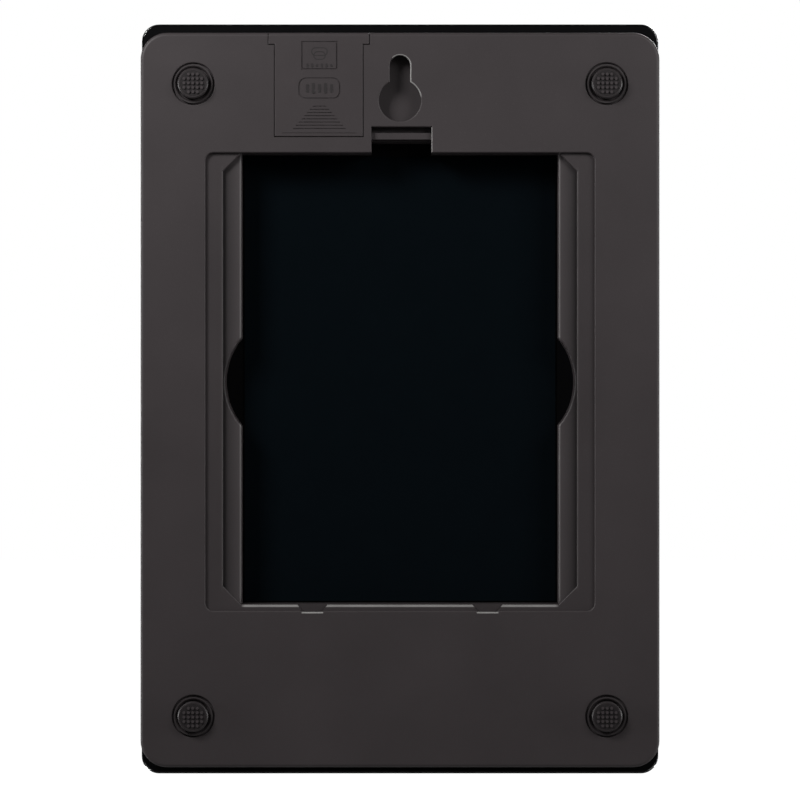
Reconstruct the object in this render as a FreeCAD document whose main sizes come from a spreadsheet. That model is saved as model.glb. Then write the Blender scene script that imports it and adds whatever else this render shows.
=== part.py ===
import FreeCAD, Part
import math
import os
import types

import Sketcher
from FreeCAD import Placement, Rotation, Vector

# A slim wall-hung photo frame that is also a scale: a tempered glass front, a moulded rear housing with an
# open photo pocket and a keyhole, a sliding coin-cell door and four weighing feet.
#
# Frame: +Z is up as it hangs, +X is to the right seen from the glass side, and +Y points into the wall.
# The origin is the centre of the keyhole's round entry, in the plane of the housing's back.
# Sketches are drawn round the centre of the housing, so every body is placed keyhole_rise lower.
# A level is a distance from the back plane towards the glass (along -Y).

SIZES = {
    # housing
    "body_width": 147.0,
    "body_height": 208.0,
    "body_corner": 7.5,
    "body_depth": 11.5,
    "body_edge": 1.0,
    "back_wall": 1.8,
    "side_wall": 2.2,
    # keyhole
    "keyhole_rise": 84.8,
    "keyhole_entry": 5.95,
    "keyhole_slot": 2.9,
    "keyhole_reach": 9.9,
    "keyhole_room": 2.6,
    "keyhole_floor": 1.2,
    "keyhole_side": 7.8,
    # glass with its print and tape
    "glass_width": 148.0,
    "glass_height": 214.6,
    "glass_rise": 0.3,
    "glass_corner": 5.0,
    "glass_depth": 4.0,
    "glass_edge": 0.6,
    "tape_depth": 0.3,
    "tape_width": 2.0,
    "print_depth": 0.1,
    "print_inset": 0.3,
    "print_window_width": 85.0,
    "print_window_height": 123.0,
    # photo pocket, its seat for a cover and its side strips
    "pocket_width": 90.0,
    "pocket_height": 128.0,
    "pocket_rise": 6.0,
    "pocket_wall": 1.8,
    "seat_width": 110.2,
    "seat_height": 129.7,
    "seat_rise": 5.15,
    "seat_corner": 2.3,
    "seat_depth": 1.2,
    "seat_floor": 4.4,
    "seat_margin": 2.0,
    "strip_width": 100.3,
    "strip_chamfer": 5.2,
    "strip_depth": 2.6,
    "strip_rim": 0.5,
    "pocket_rim": 0.7,
    "finger_radius": 19.2,
    "finger_offset": 30.4,
    "finger_rise": 5.2,
    "latch_offset": -0.4,
    "latch_width": 17.0,
    "latch_height": 7.3,
    "latch_depth": 3.2,
    "latch_slot": 3.3,
    "latch_rib_height": 1.8,
    "latch_rib_rise": 0.55,
    "latch_rib_depth": 1.4,
    "tab_spacing": 24.8,
    "tab_mouth": 10.0,
    "tab_root": 5.6,
    "tab_height": 2.0,
    "tab_depth": 4.0,
    "edge_break": 0.35,
    # photo insert
    "insert_width": 89.0,
    "insert_height": 127.0,
    "insert_depth": 0.4,
    # coin-cell door, its guides and its ears
    "door_offset": 23.0,
    "door_width": 25.0,
    "door_height": 29.4,
    "door_plate": 1.06,
    "door_tongue": 28.0,
    "door_tongue_depth": 0.72,
    "door_ear_width": 28.5,
    "door_ear_height": 3.3,
    "door_ear_depth": 0.95,
    "door_edge": 0.2,
    "door_gap": 0.2,
    "door_lip": 1.0,
    "door_groove": 0.9,
    # marks sunk into the door
    "mark_offset": 22.8,
    "mark_depth": 0.22,
    "mark_line": 0.4,
    "symbol_width": 10.2,
    "symbol_height": 8.1,
    "symbol_rise": 97.5,
    "press_width": 11.9,
    "press_height": 6.1,
    "press_corner": 2.2,
    "press_rise": 88.2,
    "arrow_rise": 83.1,
    "arrow_pitch": 0.9,
    "arrow_tip": 3.8,
    "arrow_step": 1.57,
    "arrow_line": 0.32,
    "ridge_width": 21.0,
    "ridge_rise": 75.5,
    # coin cell and its compartment
    "cell_rise": 88.6,
    "cell_radius": 10.0,
    "cell_depth": 3.2,
    "cell_level": 2.4,
    "cell_bay": 10.3,
    "cell_bay_depth": 4.4,
    "cell_block_width": 31.4,
    "cell_block_depth": 5.7,
    # feet, load cells and their holders
    "foot_spread": 58.5,
    "foot_rise": 89.5,
    "foot_recess": 5.95,
    "foot_recess_depth": 0.8,
    "foot_bore": 4.38,
    "foot_radius": 4.3,
    "foot_height": 2.3,
    "foot_flange": 5.4,
    "foot_flange_depth": 0.8,
    "foot_stem": 1.8,
    "foot_socket": 3.55,
    "foot_socket_depth": 0.6,
    "collar_inner": 4.75,
    "collar_outer": 5.4,
    "collar_height": 0.45,
    "pad_radius": 3.5,
    "pad_depth": 0.65,
    "dot_radius": 0.42,
    "dot_height": 0.4,
    "dot_pitch": 1.25,
    "load_level": 4.0,
    "load_depth": 1.2,
    "load_side": 22.4,
    "load_corner": 4.0,
    "load_window": 14.4,
    "load_beam": 6.0,
    "load_beam_gap": 1.2,
    "holder_side": 24.4,
    "holder_corner": 5.0,
    "holder_fit": 0.2,
    "holder_window": 18.0,
    "holder_ear": 2.6,
    "holder_ear_reach": 15.0,
    "holder_ear_spread": 6.5,
    "holder_ear_level": 7.4,
    "holder_ear_depth": 1.2,
    "lead_notch": 2.4,
    "lead_offset": 5.0,
    "gauge_length": 3.6,
    "gauge_width": 3.0,
    "gauge_depth": 0.2,
    # circuit board and display
    "board_drop": 82.2,
    "board_width": 80.0,
    "board_height": 33.0,
    "board_level": 5.0,
    "board_depth": 1.0,
    "board_screw_spread": 36.5,
    "board_screw_rise": 13.4,
    "board_hole": 1.1,
    "display_width": 46.0,
    "display_height": 22.0,
    "display_top_height": 19.0,
    "display_depth": 2.2,
    "display_frame_width": 50.0,
    "display_frame_height": 26.0,
    "display_window_width": 43.0,
    "display_window_height": 17.0,
    "display_lip": 0.5,
    "zebra_length": 44.0,
    "zebra_width": 1.6,
    "zebra_spread": 9.8,
    "key_spread": 34.0,
    "key_radius": 4.2,
    "dome_foot": 5.4,
    "dome_top": 3.6,
    "dome_depth": 1.3,
    "dome_offset": 6.8,
    "chip_width": 9.6,
    "chip_height": 4.0,
    "chip_depth": 1.5,
    "chip_offset": 16.4,
    # screws
    "boss_radius": 2.4,
    "pilot_radius": 0.8,
    "pilot_depth": 4.0,
    "screw_shank": 0.78,
    "screw_length": 4.0,
    "screw_head": 1.9,
    "screw_head_depth": 1.1,
    "screw_cross": 0.5,
    # leads and contacts
    "power_lead": 0.6,
    "signal_lead": 0.8,
    "lead_bend": 4.0,
    "contact_sheet": 0.3,
    "contact_width": 4.0,
    "contact_slot_gap": 0.3,
    "plus_slot_width": 2.4,
    "plus_rise": 1.5,
    "minus_drop": 4.2,
    "minus_slot_depth": 0.7,
}

CORNERS = {
    "upper_left": (-1, 1),
    "upper_right": (1, 1),
    "lower_left": (-1, -1),
    "lower_right": (1, -1),
}

doc = FreeCAD.newDocument("photo_frame_scale")
nodes = []


def fill_sheet():
    """Writes the driving dimensions into the sheet, one alias to a row."""
    sheet = doc.addObject("Spreadsheet::Sheet", "Sizes")
    for row, (alias, value) in enumerate(SIZES.items(), start=1):
        sheet.set(f"A{row}", alias)
        sheet.set(f"B{row}", str(value))
        sheet.setAlias(f"B{row}", alias)
    doc.recompute()
    return sheet


class Size:
    """A length worked out from the sheet: its number now, and the expression that keeps it up to date."""

    def __init__(self, number, text):
        self.number = number
        self.text = text

    def joined(self, sign, other, number):
        text = other.text if isinstance(other, Size) else str(other)
        return Size(number, f"({self.text} {sign} {text})")

    def __add__(self, other):
        return self.joined("+", other, self.number + plain(other))

    def __sub__(self, other):
        return self.joined("-", other, self.number - plain(other))

    def __mul__(self, other):
        return self.joined("*", other, self.number * plain(other))

    def __truediv__(self, other):
        return self.joined("/", other, self.number / plain(other))

    def __radd__(self, other):
        return self + other

    def __rsub__(self, other):
        return -self + other

    def __rmul__(self, other):
        return self * other

    def __neg__(self):
        return self * -1


def plain(length):
    """The number of a length that may be a Size or a bare number."""
    return length.number if isinstance(length, Size) else length


sheet = fill_sheet()
S = types.SimpleNamespace(**{a: Size(v, f"Sizes.{a}") for a, v in SIZES.items()})
print_level = S.body_depth + S.tape_depth
glass_level = print_level + S.print_depth


def bind(item, **lengths):
    """Binds properties of an object to sheet expressions."""
    for name, length in lengths.items():
        if isinstance(length, Size):
            item.setExpression(name, length.text)
        else:
            setattr(item, name, length)


def place(item, x, y, z):
    """Binds the three parts of an object's position."""
    for axis, length in zip("xyz", (x, y, z)):
        if isinstance(length, Size):
            item.setExpression(f"Placement.Base.{axis}", length.text)


def keep(item, label):
    """Marks an object as one finished piece, whose label names its file."""
    item.Label = label
    nodes.append(item)
    return item


# Sketches and features of PartDesign bodies


def new_body(label):
    body = doc.addObject("PartDesign::Body", label)
    place(body, 0, 0, -S.keyhole_rise)
    return keep(body, label)


def new_sketch(body, name, role="XZ_Plane", level=0, x=0, z=0):
    """A sketch on one of the body's own planes. On XZ_Plane the level moves it along -Y."""
    sketch = body.newObject("Sketcher::SketchObject", name)
    plane = next(p for p in body.Origin.OriginFeatures if p.Role == role)
    sketch.AttachmentSupport = [(plane, "")]
    sketch.MapMode = "FlatFace"
    for axis, length in zip("xyz", (x, z, level)):
        if isinstance(length, Size):
            sketch.setExpression(f"AttachmentOffset.Base.{axis}", length.text)
    return sketch


def rule(sketch, *terms, length=None):
    """Adds one constraint; its datum is bound to the sheet when a length is given."""
    if length is None:
        sketch.addConstraint(Sketcher.Constraint(*terms))
        return
    index = sketch.addConstraint(Sketcher.Constraint(*terms, plain(length)))
    if isinstance(length, Size):
        sketch.setExpression(f"Constraints[{index}]", length.text)


def locate(sketch, geometry, end, x, z):
    """Fixes a point of a sketch at (x, z) from its origin."""
    for kind, length, axis in (("DistanceX", x, -2), ("DistanceY", z, -1)):
        if plain(length) == 0:
            rule(sketch, "PointOnObject", geometry, end, axis)
        else:
            rule(sketch, kind, -1, 1, geometry, end, length=length)


def circle(radius, x=0, z=0):
    def draw(sketch):
        centre = Vector(plain(x), plain(z), 0)
        index = sketch.addGeometry(Part.Circle(centre, Vector(0, 0, 1), plain(radius)))
        rule(sketch, "Radius", index, length=radius)
        locate(sketch, index, 3, x, z)

    return draw


def polygon(points):
    def draw(sketch):
        corners = [Vector(plain(x), plain(z), 0) for x, z in points]
        count = len(points)
        first = sketch.GeometryCount
        for i in range(count):
            sketch.addGeometry(Part.LineSegment(corners[i], corners[(i + 1) % count]))
        for i, (x, z) in enumerate(points):
            rule(sketch, "Coincident", first + i, 1, first + (i - 1) % count, 2)
            locate(sketch, first + i, 1, x, z)

    return draw


def rectangle(width, height):
    across, up = width / 2, height / 2
    return polygon([(-across, -up), (across, -up), (across, up), (-across, up)])


def rounded(width, height, corner):
    """A rectangle round the sketch's origin with four equal round corners."""

    def draw(sketch):
        across, up, r = plain(width) / 2, plain(height) / 2, plain(corner)
        runs = [
            ((r - across, -up), (across - r, -up)),
            ((across, r - up), (across, up - r)),
            ((across - r, up), (r - across, up)),
            ((-across, up - r), (-across, r - up)),
        ]
        centres = [(across - r, r - up), (across - r, up - r), (r - across, up - r), (r - across, r - up)]
        for start, end in runs:
            sketch.addGeometry(Part.LineSegment(Vector(*start, 0), Vector(*end, 0)))
        for i, centre in enumerate(centres):
            ring = Part.Circle(Vector(*centre, 0), Vector(0, 0, 1), r)
            turn = math.pi / 2
            sketch.addGeometry(Part.ArcOfCircle(ring, (i - 1) * turn, i * turn))
        for i in range(4):
            rule(sketch, "Tangent", i, 2, 4 + i, 1)
            rule(sketch, "Tangent", 4 + i, 2, (i + 1) % 4, 1)
        for i, kind, length in ((0, "DistanceY", -height / 2), (2, "DistanceY", height / 2)):
            rule(sketch, "Horizontal", i)
            rule(sketch, kind, -1, 1, i, 1, length=length)
        for i, kind, length in ((1, "DistanceX", width / 2), (3, "DistanceX", -width / 2)):
            rule(sketch, "Vertical", i)
            rule(sketch, kind, -1, 1, i, 1, length=length)
        rule(sketch, "Radius", 4, length=corner)
        for i in range(5, 8):
            rule(sketch, "Equal", 4, i)

    return draw


def keyhole(entry, slot, reach):
    """A round entry with a narrower round-ended slot above it, as one outline."""

    def draw(sketch):
        r, w, top = plain(entry), plain(slot), plain(reach)
        shoulder = math.sqrt(r * r - w * w)
        left, right = math.atan2(shoulder, -w), math.atan2(shoulder, w)
        ring = Part.Circle(Vector(0, 0, 0), Vector(0, 0, 1), r)
        cap = Part.Circle(Vector(0, top, 0), Vector(0, 0, 1), w)
        sketch.addGeometry(Part.ArcOfCircle(ring, left, right + 2 * math.pi))
        sketch.addGeometry(Part.LineSegment(Vector(w, shoulder, 0), Vector(w, top, 0)))
        sketch.addGeometry(Part.ArcOfCircle(cap, 0, math.pi))
        sketch.addGeometry(Part.LineSegment(Vector(-w, top, 0), Vector(-w, shoulder, 0)))
        rule(sketch, "Coincident", 0, 3, -1, 1)
        rule(sketch, "Radius", 0, length=entry)
        rule(sketch, "Coincident", 0, 2, 1, 1)
        rule(sketch, "Tangent", 1, 2, 2, 1)
        rule(sketch, "Tangent", 2, 2, 3, 1)
        rule(sketch, "Coincident", 3, 2, 0, 1)
        rule(sketch, "Vertical", 1)
        rule(sketch, "PointOnObject", 2, 3, -2)
        rule(sketch, "DistanceY", -1, 1, 2, 3, length=reach)
        rule(sketch, "Radius", 2, length=slot)

    return draw


def pad(body, name, draw, level, depth, x=0, z=0):
    """Adds material from a level towards the glass."""
    sketch = new_sketch(body, f"{name}_sketch", level=level, x=x, z=z)
    draw(sketch)
    feature = body.newObject("PartDesign::Pad", name)
    feature.Profile = sketch
    bind(feature, Length=depth)
    return feature


def pocket(body, name, draw, level, depth, x=0, z=0):
    """Removes material from a level towards the glass."""
    sketch = new_sketch(body, f"{name}_sketch", level=level, x=x, z=z)
    draw(sketch)
    feature = body.newObject("PartDesign::Pocket", name)
    feature.Profile = sketch
    feature.Reversed = True
    bind(feature, Length=depth)
    return feature


def turned(body, name, points):
    """A round piece: a profile of (radius, height) points turned about the Y direction."""
    sketch = new_sketch(body, f"{name}_sketch", role="XY_Plane")
    polygon(points)(sketch)
    feature = body.newObject("PartDesign::Revolution", name)
    feature.Profile = sketch
    feature.ReferenceAxis = (sketch, ["V_Axis"])
    feature.Angle = 360
    return feature


def soften(body, name, base, radius, wanted):
    """Rounds the edges of a feature whose bounding boxes pass a test."""
    doc.recompute()
    names = [f"Edge{i}" for i, e in enumerate(base.Shape.Edges, start=1) if wanted(e.BoundBox)]
    feature = body.newObject("PartDesign::Fillet", name)
    feature.Base = (base, names)
    bind(feature, Radius=radius)
    return feature


def at_level(box, level):
    """Whether an edge lies flat at a level."""
    return abs(box.YMin + plain(level)) < 1e-4 and abs(box.YMax + plain(level)) < 1e-4


# Part primitives and booleans, placed in the part's own frame


def slab(name, width, height, level, depth, x, z):
    """A box centred on (x, z) that starts at a level and goes towards the glass."""
    item = doc.addObject("Part::Box", name)
    bind(item, Length=width, Width=depth, Height=height)
    place(item, x - width / 2, -(level + depth), z - height / 2 - S.keyhole_rise)
    return item


def rod(name, radius, level, depth, x, z):
    """A cylinder centred on (x, z) that starts at a level and goes towards the glass."""
    item = doc.addObject("Part::Cylinder", name)
    item.Placement = Placement(Vector(), Rotation(Vector(1, 0, 0), 90))
    bind(item, Radius=radius, Height=depth)
    place(item, x, -level, z - S.keyhole_rise)
    return item


def round_corners(base, radius):
    """Rounds the four edges of a box that run along Y."""
    doc.recompute()
    item = doc.addObject("Part::Fillet", f"{base.Name}_rounded")
    item.Base = base
    r = plain(radius)
    edges = enumerate(base.Shape.Edges, start=1)
    item.Edges = [(i, r, r) for i, e in edges if e.BoundBox.YLength > e.BoundBox.XLength + e.BoundBox.ZLength]
    return item


def fused(name, items):
    item = doc.addObject("Part::MultiFuse", name)
    item.Shapes = items
    return item


def less(name, base, tools):
    item = doc.addObject("Part::Cut", name)
    item.Base = base
    item.Tool = tools[0] if len(tools) == 1 else fused(f"{name}_tools", tools)
    return item


def group(name, items):
    """Several separate solids kept as one node."""
    item = doc.addObject("Part::Compound", name)
    item.Links = items
    return item


def set_shape(label, shape):
    """A piece whose shape comes from Part's own functions, drawn round the housing's centre."""
    item = doc.addObject("Part::Feature", label)
    item.Shape = shape
    item.Placement = Placement(Vector(0, 0, -plain(S.keyhole_rise)), Rotation())
    return keep(item, label)


# The rear housing


def pocket_walls(body, level, depth):
    """The rim round the photo pocket, its finger notches and its latch notch."""
    wall = S.pocket_wall
    width, height = S.pocket_width + 2 * wall, S.pocket_height + 2 * wall
    pad(body, "pocket_rim", rectangle(width, height), level, depth, z=S.pocket_rise)
    for side, name in ((-1, "left"), (1, "right")):
        rim = circle(S.finger_radius + wall)
        pad(body, f"finger_rim_{name}", rim, level, depth, x=side * S.finger_offset, z=S.finger_rise)
    latch = rectangle(S.latch_width + 2 * wall, 2 * (S.latch_slot + wall))
    pad(body, "latch_rim", latch, level, depth, x=S.latch_offset, z=S.pocket_rise + S.pocket_height / 2)


def pocket_opening(body, level, depth):
    """The open pocket itself, through everything from a level."""
    pocket(body, "pocket_opening", rectangle(S.pocket_width, S.pocket_height), level, depth, z=S.pocket_rise)
    for side, name in ((-1, "left"), (1, "right")):
        notch = circle(S.finger_radius)
        pocket(body, f"finger_notch_{name}", notch, level, depth, x=side * S.finger_offset, z=S.finger_rise)
    latch = rectangle(S.latch_width, 2 * S.latch_slot)
    top = S.pocket_rise + S.pocket_height / 2
    pocket(body, "latch_opening", latch, level, depth, x=S.latch_offset, z=top)


def housing_shell(body):
    shell = pad(body, "shell", rounded(S.body_width, S.body_height, S.body_corner), 0, S.body_depth)
    soften(body, "shell_edge", shell, S.body_edge, lambda box: at_level(box, 0))
    inner = rounded(
        S.body_width - 2 * S.side_wall, S.body_height - 2 * S.side_wall, S.body_corner - S.side_wall
    )
    pocket(body, "shell_hollow", inner, S.back_wall, S.body_depth - S.back_wall)


def housing_blocks(body):
    """The thickened areas behind the back wall."""
    back, top = S.back_wall, S.body_height / 2 - S.side_wall / 2
    seat = rectangle(S.seat_width + 2 * S.seat_margin, S.seat_height + 2 * S.seat_margin)
    pad(body, "seat_block", seat, back, S.seat_floor - back, z=S.seat_rise)
    pocket_top = S.pocket_rise + S.pocket_height / 2
    latch = rectangle(S.latch_width + 2 * S.seat_margin, 2 * (S.latch_height + S.seat_margin))
    pad(body, "latch_block", latch, back, S.seat_floor - back, x=S.latch_offset, z=pocket_top)
    pocket_walls(body, back, S.body_depth - back)
    low = S.keyhole_rise - S.keyhole_side
    keyhole_block = rectangle(2 * S.keyhole_side, top - low)
    floor = S.keyhole_room + S.keyhole_floor
    pad(body, "keyhole_block", keyhole_block, back, floor, z=(top + low) / 2)
    door_foot = S.body_height / 2 - S.door_height - S.seat_margin
    cell_block = rectangle(S.cell_block_width, top - door_foot)
    pad(body, "cell_block", cell_block, back, S.cell_block_depth, x=S.door_offset, z=(top + door_foot) / 2)


def housing_recesses(body):
    """The seat for a cover, the side strips, the latch notch and the two tab slots."""
    seat = rounded(S.seat_width, S.seat_height, S.seat_corner)
    pocket(body, "seat", seat, 0, S.seat_depth, z=S.seat_rise)
    across, up, cut = S.strip_width / 2, S.pocket_height / 2, S.strip_chamfer
    strip = polygon(
        [
            (-across, cut - up),
            (cut - across, -up),
            (across - cut, -up),
            (across, cut - up),
            (across, up - cut),
            (across - cut, up),
            (cut - across, up),
            (-across, up - cut),
        ]
    )
    pocket(body, "strips", strip, 0, S.strip_depth, z=S.pocket_rise)
    pocket_top = S.pocket_rise + S.pocket_height / 2
    latch = rectangle(S.latch_width, S.latch_height)
    latch_middle = pocket_top + S.latch_height / 2
    pocket(body, "latch_notch", latch, 0, S.latch_depth, x=S.latch_offset, z=latch_middle)
    rib = rectangle(S.latch_width, S.latch_rib_height)
    rib_middle = pocket_top + S.latch_slot + S.latch_rib_rise + S.latch_rib_height / 2
    rise = S.latch_depth - S.latch_rib_depth
    pad(body, "latch_rib", rib, S.latch_rib_depth, rise, x=S.latch_offset, z=rib_middle)
    pocket_foot = S.pocket_rise - S.pocket_height / 2
    mouth, root, drop = S.tab_mouth / 2, S.tab_root / 2, S.tab_height
    for side, name in ((-1, "left"), (1, "right")):
        slot = polygon([(-root, -drop), (root, -drop), (mouth, drop / 2), (-mouth, drop / 2)])
        pocket(body, f"tab_slot_{name}", slot, 0, S.tab_depth, x=side * S.tab_spacing, z=pocket_foot)


def housing_keyhole(body):
    """A round entry for a screw head, a slot for its shank and a closed room behind for the head."""
    opening = keyhole(S.keyhole_entry, S.keyhole_slot, S.keyhole_reach)
    pocket(body, "keyhole", opening, 0, S.back_wall, z=S.keyhole_rise)
    room = keyhole(S.keyhole_entry + 0.45, S.keyhole_entry - 0.25, S.keyhole_reach)
    pocket(body, "keyhole_room", room, S.back_wall, S.keyhole_room, z=S.keyhole_rise)


def housing_door_seat(body):
    """The door's slot with its under-cut groove, open at the top edge, and the round coin-cell bay."""
    top = S.body_height / 2 + S.body_edge
    foot = S.body_height / 2 - S.door_height - S.door_gap
    x, middle, length = S.door_offset, (top + foot) / 2, top - foot
    slot = rectangle(S.door_width + 2 * S.door_gap, length)
    pocket(body, "door_slot", slot, 0, S.door_lip, x=x, z=middle)
    groove = rectangle(S.door_tongue + 2 * S.door_gap, length)
    pocket(body, "door_groove", groove, S.door_lip, S.door_groove, x=x, z=middle)
    ear_foot = S.body_height / 2 - S.door_ear_height - S.door_gap
    ears = rectangle(S.door_ear_width + 2 * S.door_gap, top - ear_foot)
    pocket(body, "door_ear_notches", ears, 0, S.door_lip, x=x, z=(top + ear_foot) / 2)
    floor = S.door_lip + S.door_groove
    pocket(body, "cell_bay", circle(S.cell_bay), floor, S.cell_bay_depth, x=x, z=S.cell_rise)
    block = S.back_wall + S.cell_block_depth
    slot_height = S.contact_width + 2 * S.contact_slot_gap
    clip_x = x + S.cell_radius + S.plus_slot_width / 2
    clip = rectangle(S.plus_slot_width, slot_height)
    pocket(body, "plus_slot", clip, floor, block - floor, x=clip_x, z=S.cell_rise + S.plus_rise)
    strap = rectangle(S.cell_bay, slot_height)
    strap_level = floor + S.cell_bay_depth - S.minus_slot_depth
    strap_x = x + S.cell_bay * 1.3
    strap_z = S.cell_rise - S.minus_drop
    pocket(body, "minus_slot", strap, strap_level, S.minus_slot_depth, x=strap_x, z=strap_z)


def housing_bosses(body):
    """Screw bosses for the load-cell holders and the circuit board, each with its pilot hole."""
    back = S.back_wall
    for corner, (sx, sz) in CORNERS.items():
        ears = [(corner, i, sz * S.foot_rise + i * S.holder_ear_spread) for i in (-1, 1)]
        for name, i, z in ears:
            label = f"holder_boss_{name}_{'low' if i < 0 else 'high'}"
            x = sx * (S.foot_spread - S.holder_ear_reach)
            boss(body, label, x, z, back, S.holder_ear_level)
        x = sx * S.board_screw_spread
        z = sz * S.board_screw_rise - S.board_drop
        boss(body, f"board_boss_{corner}", x, z, back, S.board_level)


def boss(body, label, x, z, level, top):
    pad(body, label, circle(S.boss_radius), level, top - level, x=x, z=z)
    pilot = S.screw_length - 1.0
    pocket(body, f"{label}_pilot", circle(S.pilot_radius), top - pilot, pilot, x=x, z=z)


def housing_edges(body, last):
    """Breaks the sharp edges of the back face, of the side strips and of the pocket's lower rim."""
    door_foot = plain(S.body_height / 2 - S.door_height) - 1
    door_reach = plain(S.door_ear_width) / 2 + 1
    side, top = plain(S.body_width) / 2 - 3, plain(S.body_height) / 2 - 3
    strip, pocket_side = plain(S.strip_width) / 2 + 0.1, plain(S.finger_radius + S.finger_offset) + 0.1
    pocket_foot = plain(S.pocket_rise - S.pocket_height / 2)

    def reach(box):
        return max(abs(box.XMin), abs(box.XMax))

    def on_face(box):
        beside_door = abs(box.Center.x - plain(S.door_offset)) > door_reach
        clear = beside_door or box.ZMax < door_foot
        return at_level(box, 0) and clear and reach(box) < side and max(-box.ZMin, box.ZMax) < top

    def on_strip_rim(box):
        return at_level(box, S.strip_depth) and reach(box) < pocket_side and box.ZLength > 10

    def on_seat_rim(box):
        return at_level(box, S.seat_depth) and reach(box) < strip and box.ZLength > 1

    def on_pocket_rim(box):
        return at_level(box, S.seat_depth) and abs(box.ZMin - pocket_foot) < 1e-3 and box.ZLength < 1e-3

    face = soften(body, "face_edges", last, S.edge_break, on_face)
    pocket_rims = soften(body, "pocket_rims", face, S.pocket_rim, on_pocket_rim)
    strips = soften(body, "strip_rims", pocket_rims, S.strip_rim, on_strip_rim)
    soften(body, "seat_rims", strips, S.edge_break, on_seat_rim)


def housing_feet(body):
    for corner, (sx, sz) in CORNERS.items():
        x, z = sx * S.foot_spread, sz * S.foot_rise
        pocket(body, f"foot_recess_{corner}", circle(S.foot_recess), 0, S.foot_recess_depth, x=x, z=z)
        below = S.back_wall - S.foot_recess_depth
        bore = circle(S.foot_bore)
        last = pocket(body, f"foot_bore_{corner}", bore, S.foot_recess_depth, below, x=x, z=z)
    return last


def make_housing():
    body = new_body("rear_housing")
    housing_shell(body)
    housing_blocks(body)
    housing_recesses(body)
    pocket_opening(body, 0, S.body_depth)
    housing_keyhole(body)
    housing_door_seat(body)
    housing_bosses(body)
    last = housing_feet(body)
    housing_edges(body, last)


# The glass side


def make_glass():
    body = new_body("front_glass")
    outline = rounded(S.glass_width, S.glass_height, S.glass_corner)
    plate = pad(body, "glass_plate", outline, glass_level, S.glass_depth, z=S.glass_rise)
    front = glass_level + S.glass_depth
    soften(body, "glass_edge", plate, S.glass_edge, lambda b: at_level(b, glass_level) or at_level(b, front))


def make_print():
    """The opaque print on the back of the glass, with clear windows for the photo and the display."""
    body = new_body("glass_print")
    inset = 2 * S.print_inset
    outline = rounded(S.glass_width - inset * 2, S.glass_height - inset * 2, S.glass_corner - inset)
    pad(body, "print_film", outline, print_level, S.print_depth, z=S.glass_rise)
    window = rectangle(S.print_window_width, S.print_window_height)
    pocket(body, "photo_window", window, print_level, S.print_depth, z=S.pocket_rise)
    display = rectangle(S.display_window_width, S.display_window_height)
    pocket(body, "display_window", display, print_level, S.print_depth, z=-S.board_drop)


def make_tape():
    """Double-sided tape on the housing's outer rim and on the rim of the pocket."""
    body = new_body("glass_tape")
    inset, wide = S.side_wall - S.tape_width, S.tape_width
    width, height = S.body_width - inset, S.body_height - inset
    pad(body, "tape_outline", rounded(width, height, S.body_corner - inset / 2), S.body_depth, S.tape_depth)
    inner = rounded(width - 2 * wide, height - 2 * wide, S.body_corner - inset / 2 - wide)
    pocket(body, "tape_inside", inner, S.body_depth, S.tape_depth)


def make_pocket_tape():
    body = new_body("pocket_tape")
    pocket_walls(body, S.body_depth, S.tape_depth)
    pocket_opening(body, S.body_depth, S.tape_depth)


def make_insert():
    """The blank card that fills the pocket, flat against the print."""
    level = print_level - S.insert_depth
    card = slab("insert_card", S.insert_width, S.insert_height, level, S.insert_depth, 0, S.pocket_rise)
    keep(card, "insert_card")


# The coin cell and its door


def make_door():
    body = new_body("battery_door")
    x, top = S.door_offset, S.body_height / 2
    middle = top - S.door_height / 2
    plate = rectangle(S.door_width, S.door_height)
    pad(body, "door_plate", plate, 0, S.door_plate, x=x, z=middle)
    ears = rectangle(S.door_ear_width, S.door_ear_height)
    pad(body, "door_ears", ears, 0, S.door_ear_depth, x=x, z=top - S.door_ear_height / 2)
    tongue = rectangle(S.door_tongue, S.door_height)
    last = pad(body, "door_tongues", tongue, S.door_plate, S.door_tongue_depth, x=x, z=middle)
    end = plain(top)
    rounded_end = soften(
        body, "door_end", last, S.body_edge * 0.9, lambda b: at_level(b, 0) and abs(b.ZMin - end) < 1e-4
    )
    soften(body, "door_rim", rounded_end, S.door_edge, lambda b: at_level(b, 0) and b.ZMin < end - 2)
    door_marks(body)


def door_marks(body):
    """Plain marks sunk into the door: a square and a lozenge outline, an arrow of lines and a foot line."""
    x, depth = S.mark_offset, S.mark_depth
    frames = (
        ("symbol", S.symbol_rise, S.symbol_width, S.symbol_height, None),
        ("press", S.press_rise, S.press_width, S.press_height, S.press_corner),
    )
    for name, z, width, height, corner in frames:
        for part, cut, inset in (("outside", pocket, 0), ("inside", pad, S.mark_line)):
            wide, high = width - 2 * inset, height - 2 * inset
            draw = rounded(wide, high, corner - inset) if corner else rectangle(wide, high)
            cut(body, f"{name}_{part}", draw, 0, depth, x=x, z=z)
    for i in range(8):
        line = rectangle(S.arrow_tip + i * S.arrow_step, S.arrow_line)
        pocket(body, f"arrow_line_{i + 1}", line, 0, depth, x=x, z=S.arrow_rise - i * S.arrow_pitch)
    foot = rectangle(S.ridge_width, S.arrow_line)
    pocket(body, "door_foot_line", foot, 0, depth * 0.6, x=x, z=S.ridge_rise)


def make_coin_cell():
    """A CR2032-size cell: a can with a smaller raised cap on the glass side."""
    x, z = S.door_offset, S.cell_rise
    can = rod("cell_can", S.cell_radius, S.cell_level, S.cell_depth * 0.85, x, z)
    cap_level = S.cell_level + S.cell_depth * 0.85
    cap = rod("cell_cap", S.cell_radius * 0.87, cap_level, S.cell_depth * 0.15, x, z)
    keep(fused("coin_cell", [can, cap]), "coin_cell")


def strip_of(points, thick, direction):
    """A bent strip: an outline of the given thickness along a path, pushed out along a direction."""
    back = [p + thick for p in reversed(points)]
    corners = points + back
    return Part.Face(Part.makePolygon(corners + corners[:1])).extrude(direction)


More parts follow.
